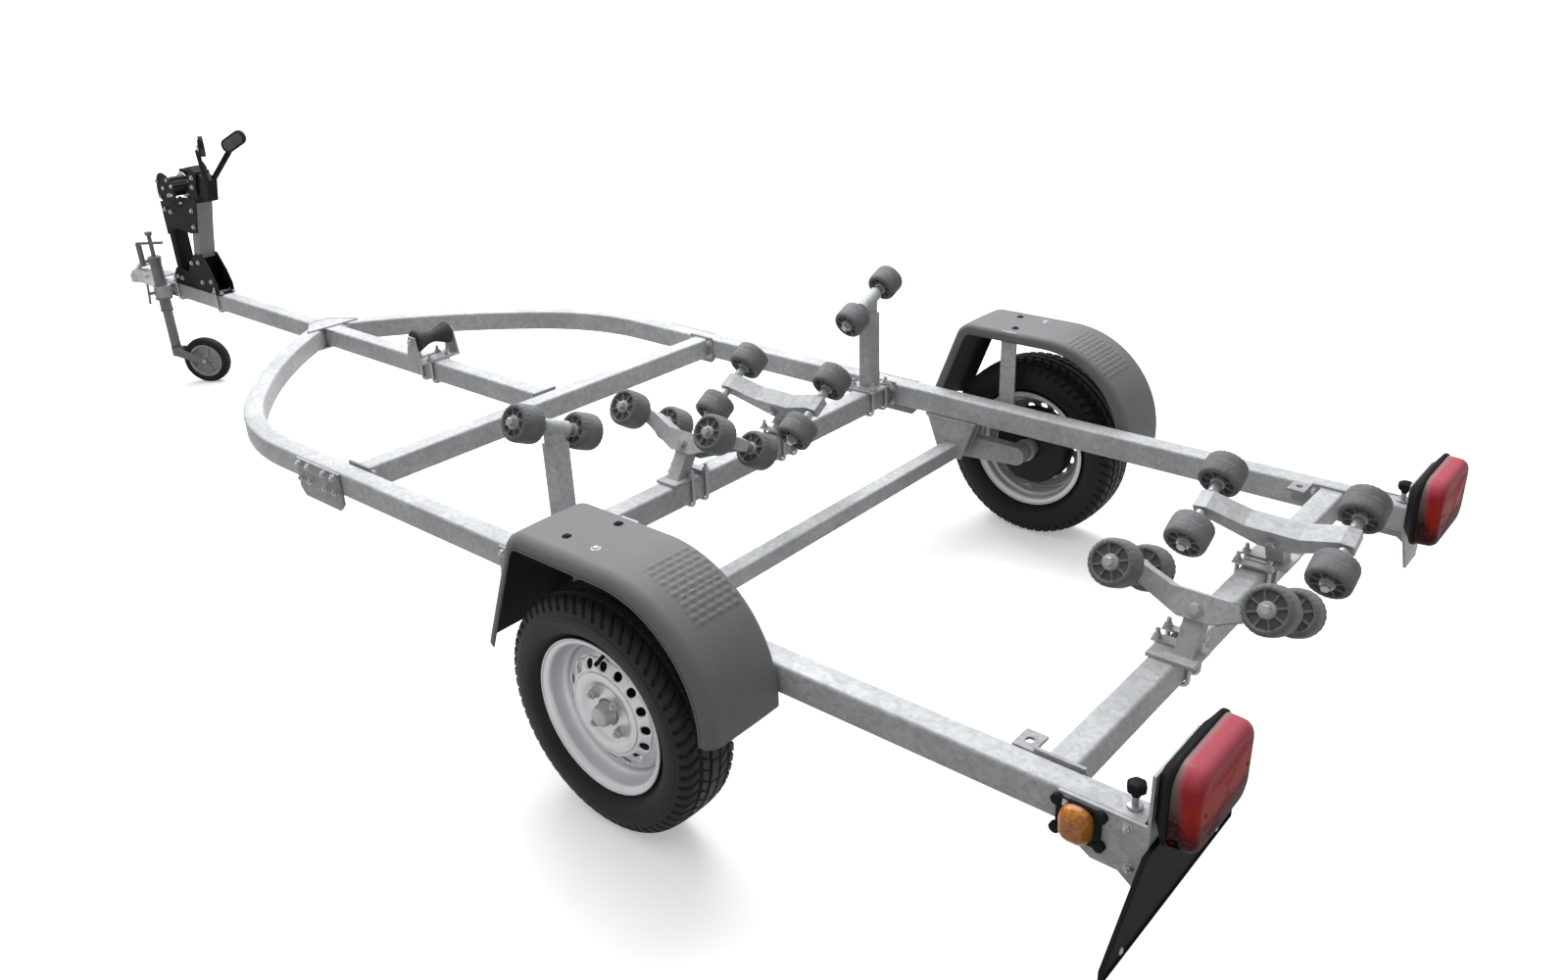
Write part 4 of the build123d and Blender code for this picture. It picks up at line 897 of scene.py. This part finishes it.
def keel_roller():
    """Waisted roller with rings across its waist and hollow ends."""
    half, ring_pitch = 68.0, 9.5
    outline = softened([(half - 2, 9), (half - 2, 26), (half, 29), (half, 34), (65, 37.4), (60, 38),
                        (52, 35.5), (42, 31), (26, 25), (10, 20.6), (0, 20)], 2)
    along, reach = spread(outline, 46).T
    reach = reach + 0.9 * np.cos(along * 2 * pi / ring_pitch) * (along < 56) * (reach > 19)
    profile = np.column_stack([along, reach])
    profile = np.concatenate([[(half - 2, 0)], profile, profile[::-1] * (-1, 1), [(2 - half, 0)]])
    piece = Piece()
    piece.turned(profile, 72, seat(*KEEL, (1, 0, 0)))
    piece.finish("keel_roller_ringed", "roller_rubber", "keel_roller", ("keel_roller",), mat=KEEL_RUBBER,
                 sharp=45)
    nuts = Piece()
    for end in (1, -1):
        axle_nut(nuts, seat(end * 80, KEEL[1], KEEL[2], (end, 0, 0)))
    nuts.finish("keel_roller_nuts", "zinc_plate", "frame")


for side_name, side in SIDES:
    side_rail(side_name, side)
    for (cradle, tilt), end in product(CRADLE_TILT.items(), ("front", "rear")):
        rocker = f"{cradle}_{side_name}_rocker"
        roller_group(f"{cradle}_{side_name}_{end}_rollers", rocker, tilt, 50.0, side)
    roller_group(f"{side_name}_post_rollers", "frame", POST_TILT, 46.0, side)
end_plugs()
plate_bolts()
clamps()
weld_beads()
rocker_pivots()
keel_roller()


# --------------------------------------------------------------------- lamps

LAMP_W, LAMP_H = 244.0, 176.0
(_, LAMP_Y, _), (LAMP_OUT, _, _) = corners("lamp_housings")
LAMP_X, LAMP_Z = LAMP_OUT - LAMP_W / 2, centre_of("lamp_housings")[2]


def lamp_loops(steps):
    """Rounded lamp outlines of 144 even points; each step is (distance behind the plate, shrink)."""
    loops = []
    for depth, shrink in steps:
        outline = rounded(LAMP_W - 2 * shrink, LAMP_H - 2 * shrink, max(50 - shrink, 6), 9)
        loops.append(raised(spread(np.concatenate([outline, outline[:1]]), 145)[:-1], depth))
    return loops


def lamps():
    """Housings with a rolled rim, and lenses with a bevelled flank. The face is rings drawn in to its middle,
    domed by 2 mm, ribbed by a cosine and parted in three by two round grooves."""
    shell, glass, screws = Piece(), Piece(), Piece()
    face_depth, rib_pitch, parting_gap = 77.6, 7.5, 34
    screw = [(0, 0), (0, 4.6), (1.5, 4.2), (2.2, 2.5), (2.2, 0)]
    for _, s in SIDES:
        place = seat(s * LAMP_X, LAMP_Y, LAMP_Z, (0, 1, 0))
        steps = [(0.5, 32), (2, 30), (21, 2), (22, 0.6), (23, 0), (29, 0), (30.5, 0.8), (31, 4)]
        shell.stack(lamp_loops(steps), place)
        loops = lamp_loops([(30.2, 4.4), (32, 4), (58, 5.4), (64, 6.5), (70, 10), (74, 14), (76.5, 19),
                            (face_depth, 24)])
        face = loops[-1][:, :2]
        for share in np.linspace(1, 0, 26)[1:]:
            spot = face * share
            dome = face_depth + 2.0 * (1 - share ** 2)
            parting = 1.5 * np.clip(1.4 - np.abs(np.abs(spot[:, 1] + 8) - parting_gap) / 2.4, 0, 1)
            ribs = 0.35 * np.cos(spot[:, 0] * 2 * pi / rib_pitch)
            loops.append(np.column_stack([spot, dome - parting - 0.35 + ribs * (share < 0.96)]))
        back = np.repeat(loops[0].mean(0)[None], len(face), 0)
        glass.grid(np.array([back, *loops]), place, wrap_columns=True)
        for x in (-84, 84):
            screws.turned(screw, 16, place @ Matrix.Translation((x, 0, face_depth - 1.2)))
    shell.finish("lamp_shells", "black_plastic", "frame", ("lamp_housings",), sharp=50)
    glass.finish("lamp_glasses", "red_lens", "frame", ("lamp_lenses",), sharp=50)
    screws.finish("lamp_screws", "black_plastic", "frame")


def markers():
    """Side markers: a base with a lug round each screw, and a domed glass with fine bars."""
    base, glass = Piece(), Piece()
    _, y, z = centre_of("side_markers")
    lug = [(0, 0), (0, 11), (9, 11), (11, 9), (12, 5), (12, 0)]
    dome = [(6.5, 0), (14, 0.4), (20, 2), (25, 5), (29, 9.5), (31.6, 15), (32.8, 20)]   # height and shrink
    for _, s in SIDES:
        place = seat(s * (RAIL_OUT + LAMP_PLATE_T), y, z, (s, 0, 0))
        base.slab(rounded(84, 76, 8), 0, 7, place, 1.5)
        for dx, dz in product((-41, 41), (-30, 30)):
            base.turned(lug, 20, place @ Matrix.Translation((dx, dz, 0)))
        outlines = [rounded(62 - 2 * k, 72 - 2 * k, max(25 - k, 4), 9) for _, k in dome]
        glass.stack([raised(outline, height) for outline, (height, _) in zip(outlines, dome)], place)
        for dz in np.linspace(-18, 18, 7):
            glass.pipe([(-14, dz, 31.6), (-9, dz, 32.6), (9, dz, 32.6), (14, dz, 31.6)], 1.0, place, 8)
    base.finish("marker_bases", "black_plastic", "frame")
    glass.finish("marker_glasses", "amber_lens", "frame", ("side_markers",), sharp=50)


def clamp_screws():
    """Lobed plastic knobs on their threads, over the rails' rear ends."""
    knob, thread = Piece(), Piece()
    angle = full_turn(48)
    lobes = 1 - 0.09 * (0.5 + 0.5 * np.cos(6 * angle))
    outline = np.array([(24, 8), (30, 9), (33, 15), (35, 17), (46, 17.4), (50, 16), (52, 12)])
    along, reach = outline.T[..., None]
    for _, s in SIDES:
        place = seat(s * RAIL_X, centre_of("clamp_knobs")[1], FRAME_TOP)
        knob.stack(around(reach * lobes, angle, along), place)
        thread.turned([(0, 0), (0, 14), (5, 14), (6, 12), (6, 6), (27, 6), (27, 0)], 20, place)
    knob.finish("lamp_clamp_knobs", "black_plastic", "frame", ("clamp_knobs",), sharp=50)
    thread.finish("lamp_clamp_threads", "zinc_plate", "frame")


def board_details():
    """Rolled rim and fixing screws of the blank number plate board."""
    (left, _, foot), (right, face, top) = corners("number_plate_board")
    piece = Piece()
    for x in (LAMP_X - 190, LAMP_X + 190):
        piece.turned([(0, 0), (0, 7), (2, 6), (3.4, 3), (3.4, 0)], 16, seat(x, face, foot + 16, (0, 1, 0)))
    piece.finish("board_screws", "zinc_plate", "frame")
    low, shoulder, top_half = foot + 2, foot + 22, 128
    outline = [(left, low), (right, low), (right, shoulder), (LAMP_X + top_half, top),
               (LAMP_X - top_half, top), (left, shoulder), (left, low)]
    line = np.array([(x, face + 1.2, z) for x, z in outline])
    edge = Piece()
    edge.pipe(spread(line, 200), 2.4, sides=8)
    edge.finish("board_rim", "black_plastic", "frame", sharp=60)


lamps()
markers()
clamp_screws()
board_details()


# ------------------------------------------------------- winch and bow stop

_, WINCH_Y, WINCH_Z = centre_of("winch_drum")
PINION = (-3479.0, 836.0)   # y and z of the crank's shaft


def toothed(radius, teeth, depth, per_tooth=6):
    """Outline of a gear: the radius rises and falls in flat-topped waves."""
    angle = full_turn(teeth * per_tooth)
    reach = radius - depth * np.clip(0.5 - 1.1 * np.cos(teeth * angle), 0, 1)
    return np.stack([reach * np.cos(angle), reach * np.sin(angle)], -1)


def winch_body():
    """Side plates with rounded corners, folded foot, ribbed gear cover, spacers and ratchet."""
    piece = Piece()
    outline = softened([(-62, -60), (90, -60), (90, 10), (40, 62), (-30, 62), (-62, 10)], 2, closed=True)
    half, plate_t, foot_z = 50, 5, corners("winch_frame")[0][2]
    for x in (-half, half - plate_t):
        piece.slab(outline, 0, plate_t, seat(x, WINCH_Y, WINCH_Z, (1, 0, 0)), 1.2)
    piece.slab(rounded(100, 150, 8), 0, 6, seat(0, WINCH_Y + 14, foot_z), 1.2)
    cover = [(0, 0), (0, 58), (8, 58), (12, 56), (14.6, 51), (14.6, 42), (12, 39), (12, 24), (14.6, 21),
             (15, 12), (15, 0)]
    piece.turned(cover, 64, seat(-half, WINCH_Y, WINCH_Z, (-1, 0, 0)))
    pinion_cover = [(0, 0), (0, 30), (11, 30), (14, 27), (15, 20), (15, 9), (15, 0)]
    piece.turned(pinion_cover, 40, seat(-half, *PINION, (-1, 0, 0)))
    spacers = ((-3590, 826), (-3500, 902), (-3592, 890), (-3470, 880))
    for y, z in spacers:
        piece.pipe([(-46, y, z), (46, y, z)], 5.5, sides=12)
    piece.finish("winch_side_frame", "black_steel", "frame", ("winch_frame",), sharp=45)
    fittings = Piece()
    for (y, z), s in product(spacers, (1, -1)):
        fittings.side_bolt(s, half, y, z, 7)
    for y, x in product((-3598, -3470), (-30, 30)):
        fittings.bolt(seat(x, y, foot_z + 6), 8)
    pawl = softened([(-8, -6), (26, -4), (34, 6), (22, 9), (-4, 9), (-10, 2)], 2, closed=True)
    pawl_place = seat(half, -3500, 842, (1, 0, 0))
    fittings.slab(pawl, 0, 5, pawl_place, 1.0)
    fittings.turned([(0, 0), (0, 7), (9, 7), (10, 5), (10, 0)], 16, pawl_place)
    fittings.finish("winch_fasteners", "zinc_plate", "frame")


def winch_drum():
    """Flanged drum with a large gear, and webbing whose radius grows by a layer once round the axis."""
    place = seat(0, WINCH_Y, WINCH_Z, (1, 0, 0))
    piece = Piece()
    drum = [(-40, 0), (-40, 22), (-38, 22), (-38, 51), (-36, 52), (-33, 51), (-33, 22), (33, 22), (33, 51),
            (35, 52), (37.5, 51), (38, 22), (40, 22), (40, 0)]
    piece.turned(drum, 64, place)
    piece.slab(toothed(50, 44, 4.5), 38.4, 43.6, place, 0.6)
    piece.turned([(40, 0), (40, 12), (43, 12), (43, 8), (54, 8), (55, 7), (55, 0)], 24, place)
    piece.finish("winch_drum_geared", "zinc_plate", "winch_drum", ("winch_drum",), sharp=45)
    strap = Piece()
    half, core = 25, -14                 # half the webbing's width, and its inner side under the surface
    turn = np.linspace(0, 2 * pi, 160)[:-1, None]
    across = np.linspace(-half, half, 26)
    weave = 0.35 * np.cos(across * 2 * pi / 4.0)
    across = np.concatenate([[-half], across, [half]])
    reach = 39.0 + turn / (2 * pi) + np.concatenate([[core], weave, [core]])
    strap.grid(around(reach, turn, across[None]), place, wrap_rows=True, wrap_columns=True)
    strap.finish("winch_strap", "roller_rubber", "winch_drum", mat=STRAP, sharp=60)


def winch_crank():
    """Flat arm with rounded ends, hub, and a grip with finger rings."""
    rise, throw = radians(23), 170.0     # lean of the arm and distance of its grip
    place = seat(-75, *PINION, (-1, 0, 0), (0, -cos(rise), sin(rise)))
    piece = Piece()
    boss = [(-28, 0), (-28, 8), (0, 8), (0, 17), (10, 17), (12, 15), (12, 8), (20, 8), (21, 6), (21, 0)]
    piece.turned(boss, 24, place)
    piece.slab(rounded(throw + 28, 28, 13.9, 8) + (throw / 2, 0), 0.5, 9.5, place, 2.0)
    end = place @ Matrix.Translation((throw, 0, 9.5))
    piece.turned([(0, 0), (0, 8), (24, 8), (24, 0)], 20, end)
    piece.finish("winch_crank_arm", "black_steel", "winch_crank", ("winch_crank",))
    grip = Piece()
    length = 92.0
    along = np.linspace(0, length, 60)
    reach = 13.2 + 1.6 * np.sin(along / length * pi) + 0.6 * np.cos(along * 2 * pi / 8.0)
    profile = np.column_stack([along + 8, reach])
    profile = np.concatenate([[(8, 0), (8, 11)], profile, [(101, 11), (102.4, 7), (102.4, 0)]])
    grip.turned(profile, 32, end)
    grip.finish("winch_crank_grip", "black_plastic", "winch_crank", sharp=60)


def stand_details():
    """Grey sleeve on the column, and bolts through the lobes, the carrier plates and the head."""
    lean = radians(18)
    place = seat(0, -3440, FRAME_TOP, (0, sin(lean), cos(lean)))
    sleeve = Piece()
    sleeve.slab(rounded(63, 58, 5) + (0, -27.5), 150, 396, place, 1.0)
    sleeve.finish("column_sleeve", "galvanised_steel", "frame", mat=SLEEVE_GREY)
    bolts = Piece()
    spots = [(-3640, 480), (-3600, 478), (-3480, 560), (-3420, 570), (-3340, 500), (-3420, 486), (-3610, 770),
             (-3560, 765), (-3370, 790), (-3385, 722)]
    for (y, z), s in product(spots, (1, -1)):
        bolts.side_bolt(s, 35, y, z, 9)
    for x, y in product((-27, 27), (-3662, -3294)):
        bolts.bolt(seat(x, y, FRAME_TOP + 6), 8)
    for height, s in product((455, 495), (1, -1)):
        spot = place @ Vector((0, 0, height)) / MM
        bolts.side_bolt(s, 30, spot.y - AXLE_Y - 26, spot.z + 8, 9)
    bolts.finish("stand_bolts", "zinc_plate", "frame")


def stop_pads():
    """Oval rubber pads: each loop is the outline drawn in by a step, a raised dark border round a
    grey inset face with rows of studs."""
    pads, insets, bolts = Piece(), Piece(), Piece()
    outline = rounded(120, 54, 26.6, 14)
    reach = np.linalg.norm(outline, axis=1, keepdims=True)
    stud = np.array([(0.6, 0), (0.6, 4.4), (-1.6, 3.8), (-2.2, 2.4), (-2.2, 0)])
    # Steps are (shrink of the outline, depth).
    pad_steps = [(3, 18), (0, 15), (0, 4), (1.2, 1.2), (4, 0), (7, 0), (8.5, 3), (12, 3.4)]
    inset_steps = [(8.6, 3.6), (9.2, 2.4), (12, 2.0)]
    for _, s in SIDES:
        turns = [Matrix.Rotation(radians(degrees), 4, axis)
                 for degrees, axis in ((-25 * s, "Z"), (28, "X"), (90, "Y"), (90, "Z"))]
        place = Matrix.Translation(at(s * 56, -3092, 1072))
        for turn in turns:
            place = place @ turn
        place = place @ Matrix.Scale(MM, 4)
        for group, steps in ((pads, pad_steps), (insets, inset_steps)):
            group.stack([raised(outline * (1 - shrink / reach), s * depth) for shrink, depth in steps], place)
        for row, step in product((-9, 0, 9), np.arange(-36, 37, 12)):
            spot = place @ Matrix.Translation((step + row * 0.5, row, s * 2.2))
            insets.turned(stud * (s, 1), 12, spot)
        outwards = Matrix.Rotation(0 if s > 0 else pi, 4, "X")
        for step in (-30, 6):
            bolts.bolt(place @ Matrix.Translation((step, 0, s * 22)) @ outwards, 8)
    pads.finish("stop_pads_moulded", "roller_rubber", "frame", ("bow_stop_pads",), mat=MATS["jockey_tyre"],
                sharp=45)
    insets.finish("stop_pad_faces", "roller_rubber", "frame", sharp=45)
    bolts.finish("stop_pad_bolts", "zinc_plate", "frame")


winch_body()
winch_drum()
winch_crank()
stand_details()
stop_pads()


# ------------------------------------------------------ jockey and coupling

STEM_X, STEM_Y = np.round(centre_of("jockey_outer_tube")[:2], 1)
SWIVEL, TRAIL, JOCKEY_R = 38.0, 126.0, 100.0   # castor's heading in degrees, its trail, wheel's radius


def jockey_wheel():
    """Solid tyre on a dished hub with ribs, and the nuts of its axle."""
    t = radians(SWIVEL)
    back = Vector((-sin(t), cos(t), 0))
    axis = Vector((cos(t), sin(t), 0))
    wheel = Vector((STEM_X, STEM_Y, JOCKEY_R)) + back * TRAIL
    place = seat(*wheel, axis, back)
    tread = softened([(-18, 70), (-22.6, 76), (-22.8, 86), (-18, 96), (-8, JOCKEY_R),
                      (8, JOCKEY_R), (18, 96), (22.8, 86), (22.6, 76), (18, 70)], 2)
    ring = Piece()
    ring.turned(np.concatenate([tread, [(0, 69)]]), 96, place, closed=True)
    ring.finish("jockey_tyre_ring", "jockey_tyre", "jockey_wheel", ("jockey_wheel",), sharp=50)
    half = np.array([(20, 71), (20, 64), (16, 62), (4, 56), (5, 24), (16, 19), (20, 17), (20, 0)])
    disc = Piece()
    disc.turned(np.concatenate([half[::-1] * (-1, 1), half]), 72, place)
    for k in range(5):
        spoke = place @ Matrix.Rotation(2 * pi * k / 5, 4, "Z")
        disc.box(18, 63, -3, 3, -15, 15, spoke, 1.2)
    disc.finish("jockey_hub_disc", "zinc_plate", "jockey_wheel", mat=HUB_PLASTIC, sharp=40)
    nuts = Piece()
    for end in (1, -1):
        nuts.bolt(seat(*(wheel + axis * end * 29.5), axis * end), 9)
    nuts.finish("jockey_axle_nuts", "zinc_plate", "jockey_fork")


def jockey_fittings():
    """Collars and clamp lever of the jockey tube, and the ringed grip of its crank."""
    tube = Piece()
    stem = seat(STEM_X, STEM_Y, 0)
    for low, high, radius in ((325, 333, 26), (438, 446, 26), (380, 388, 35), (440, 441, 25), (540, 552, 26)):
        collar = [(low, 24.2), (low, radius - 1), (low + 1, radius), (high - 1, radius), (high, radius - 1),
                  (high, 24.2)]
        tube.turned(collar, 40, stem, closed=True)
    tube.pipe([(STEM_X + 28, STEM_Y, FRAME_MID), (STEM_X + 62, STEM_Y - 4, FRAME_MID)], 7, sides=12)
    lever = ((-12, -44), (0, 0), (6, 44))
    tube.pipe([(STEM_X + 58, STEM_Y + y, FRAME_MID + z) for y, z in lever], 5)
    for y, z in product((-20, 20), (-20, 20)):
        tube.side_bolt(1, 38, STEM_Y + y, FRAME_MID + z, 8)
    tube.finish("jockey_fittings", "zinc_plate", "frame", mat=DULL_ZINC)
    grip = Piece()
    turn, throw = radians(-50), 54
    low, high = 523, 619
    along = np.linspace(low + 1, high - 1, 40)
    share = (along - along[0]) / (along[-1] - along[0])
    reach = 9.4 + 1.0 * np.sin(share * pi) + 0.4 * np.cos(along * 2 * pi / 8)
    profile = np.concatenate([[(low, 0), (low, 8)], np.column_stack([along, reach]), [(high, 8), (high, 0)]])
    grip.turned(profile, 28, seat(STEM_X + throw * cos(turn), STEM_Y + throw * sin(turn), 0))
    grip.finish("jockey_crank_grip", "black_plastic", "frame", sharp=60)


def coupling():
    """Lever grip, through bolts, wear bolt, safety catch and the rolled lip of the cup."""
    grip = Piece()
    line = softened([(0, -4056, 470), (0, -4000, 480), (0, -3944, 488), (0, -3930, 489)], 2)
    grip.pipe(spread(line, 24), np.concatenate([[9], np.full(22, 12.5), [9]]), sides=16)
    grip.finish("coupling_grip", "black_plastic", "frame", sharp=60)
    piece = Piece()
    bolts = ((36, -3848, 432, 10), (36, -3848, 400, 10), (31, -3900, 420, 7), (31, -3985, 424, 7))
    for (x, y, z, size), s in product(bolts, (1, -1)):
        piece.side_bolt(s, x, y, z, size)
    ball_y = -4112
    lip = [(-1, 26), (-1, 40.5), (2, 42), (6, 42), (8, 41), (8, 38), (3, 26)]
    piece.turned(lip, 48, seat(0, ball_y, corners("coupling_head")[0][2]), closed=True)
    piece.turned([(0, 0), (0, 14), (4, 14), (6, 11), (6, 0)], 24, seat(0, ball_y, 437))
    piece.pipe([(-20, ball_y + 50, 456), (20, ball_y + 50, 456)], 5, sides=12)
    piece.finish("coupling_fittings", "zinc_plate", "frame")


jockey_wheel()
jockey_fittings()
coupling()


# ------------------------------------------------------------ floor and light

def seen_rays(tree):
    """1 for rays from the camera, gloss and glass, 0 for the light that the floor gives back."""
    path = add(tree, "ShaderNodeLightPath")
    seen = maths(tree, "MAXIMUM", path.outputs["Is Camera Ray"], path.outputs["Is Glossy Ray"])
    return maths(tree, "MAXIMUM", seen, path.outputs["Is Transmission Ray"])


def make_floor():
    """Pale floor: to the camera and to gloss it is white with the soft shadow, and whiter further away."""
    mesh = bpy.data.meshes.new("floor")
    half = 60.0          # metres
    square = [(-half, -half, 0), (half, -half, 0), (half, half, 0), (-half, half, 0)]
    mesh.from_pydata(square, [], [(0, 1, 2, 3)])
    floor = bpy.data.objects.new("floor", mesh)
    bpy.context.collection.objects.link(floor)
    m = bpy.data.materials.new("floor")
    m.use_nodes = True
    tree = m.node_tree
    shader = tree.nodes["Principled BSDF"]
    shader.inputs["Roughness"].default_value = 0.9
    shader.inputs["Specular IOR Level"].default_value = 0.0
    seen = seen_rays(tree)
    link(tree, mixed(tree, seen, grey(0.28), grey(0.80)), shader.inputs["Base Color"])
    where = add(tree, "ShaderNodeVectorMath", operation="LENGTH")
    link(tree, add(tree, "ShaderNodeTexCoord").outputs["Object"], where.inputs[0])
    far = add(tree, "ShaderNodeMapRange", in_1=3.6, in_2=10.0, in_3=0.34, in_4=1.0)
    link(tree, where.outputs["Value"], far.inputs[0])
    shader.inputs["Emission Color"].default_value = (1, 1, 1, 1)
    link(tree, maths(tree, "MULTIPLY", seen, far.outputs[0]), shader.inputs["Emission Strength"])
    mesh.materials.append(m)


def make_world():
    """White where it is seen; as light, bright overhead and dimmer near the horizon."""
    world = bpy.data.worlds.new("world")
    bpy.context.scene.world = world
    world.use_nodes = True
    tree = world.node_tree
    back = tree.nodes["Background"]
    split = add(tree, "ShaderNodeSeparateXYZ")
    link(tree, add(tree, "ShaderNodeTexCoord").outputs["Generated"], split.inputs[0])
    stops = [(0.0, grey(0.10)), (0.25, grey(0.18)), (0.6, grey(0.66)), (1.0, grey(1.0))]
    sky = ramp(tree, split.outputs["Z"], stops)
    link(tree, mixed(tree, seen_rays(tree), sky, grey(1.0)), back.inputs["Color"])


def area_light(name, spot, aim, size, power):
    """Rectangular lamp at a spot, turned to its aim; lengths in metres and power in watts."""
    light = bpy.data.lights.new(name, "AREA")
    light.shape = "RECTANGLE"
    light.size, light.size_y = size
    light.energy = power
    obj = bpy.data.objects.new(name, light)
    obj.location = spot
    obj.rotation_euler = (Vector(aim) - Vector(spot)).to_track_quat("-Z", "Y").to_euler()
    bpy.context.collection.objects.link(obj)


def make_camera():
    """Camera fitted to the photograph: its heading round the trailer, height angle and roll in degrees."""
    azimuth, elevation, roll = radians(131.08), radians(24.98), radians(-2.21)
    back = Vector((sin(azimuth) * cos(elevation), -cos(azimuth) * cos(elevation), sin(elevation)))
    right = (-back).cross(Vector((0, 0, 1))).normalized()
    up = right.cross(-back)
    right, up = cos(roll) * right + sin(roll) * up, cos(roll) * up - sin(roll) * right
    camera = bpy.data.cameras.new("camera")
    camera.sensor_width = 36.0
    camera.lens = 28.71
    obj = bpy.data.objects.new("camera", camera)
    turn = Matrix((right, up, back)).transposed()
    obj.matrix_world = Matrix.Translation(at(2336.4, 1755.2, 1820.3)) @ turn.to_4x4()
    bpy.context.collection.objects.link(obj)
    bpy.context.scene.camera = obj


make_floor()
make_world()
area_light("key", (-2.2, -1.6, 5.8), (0, 0.1, 0.2), (5.5, 5.5), 610)
area_light("front", (-2.0, -6.0, 4.0), (0, -1.5, 0.4), (4.0, 3.0), 40)
make_camera()
bpy.context.scene.view_settings.view_transform = "Standard"
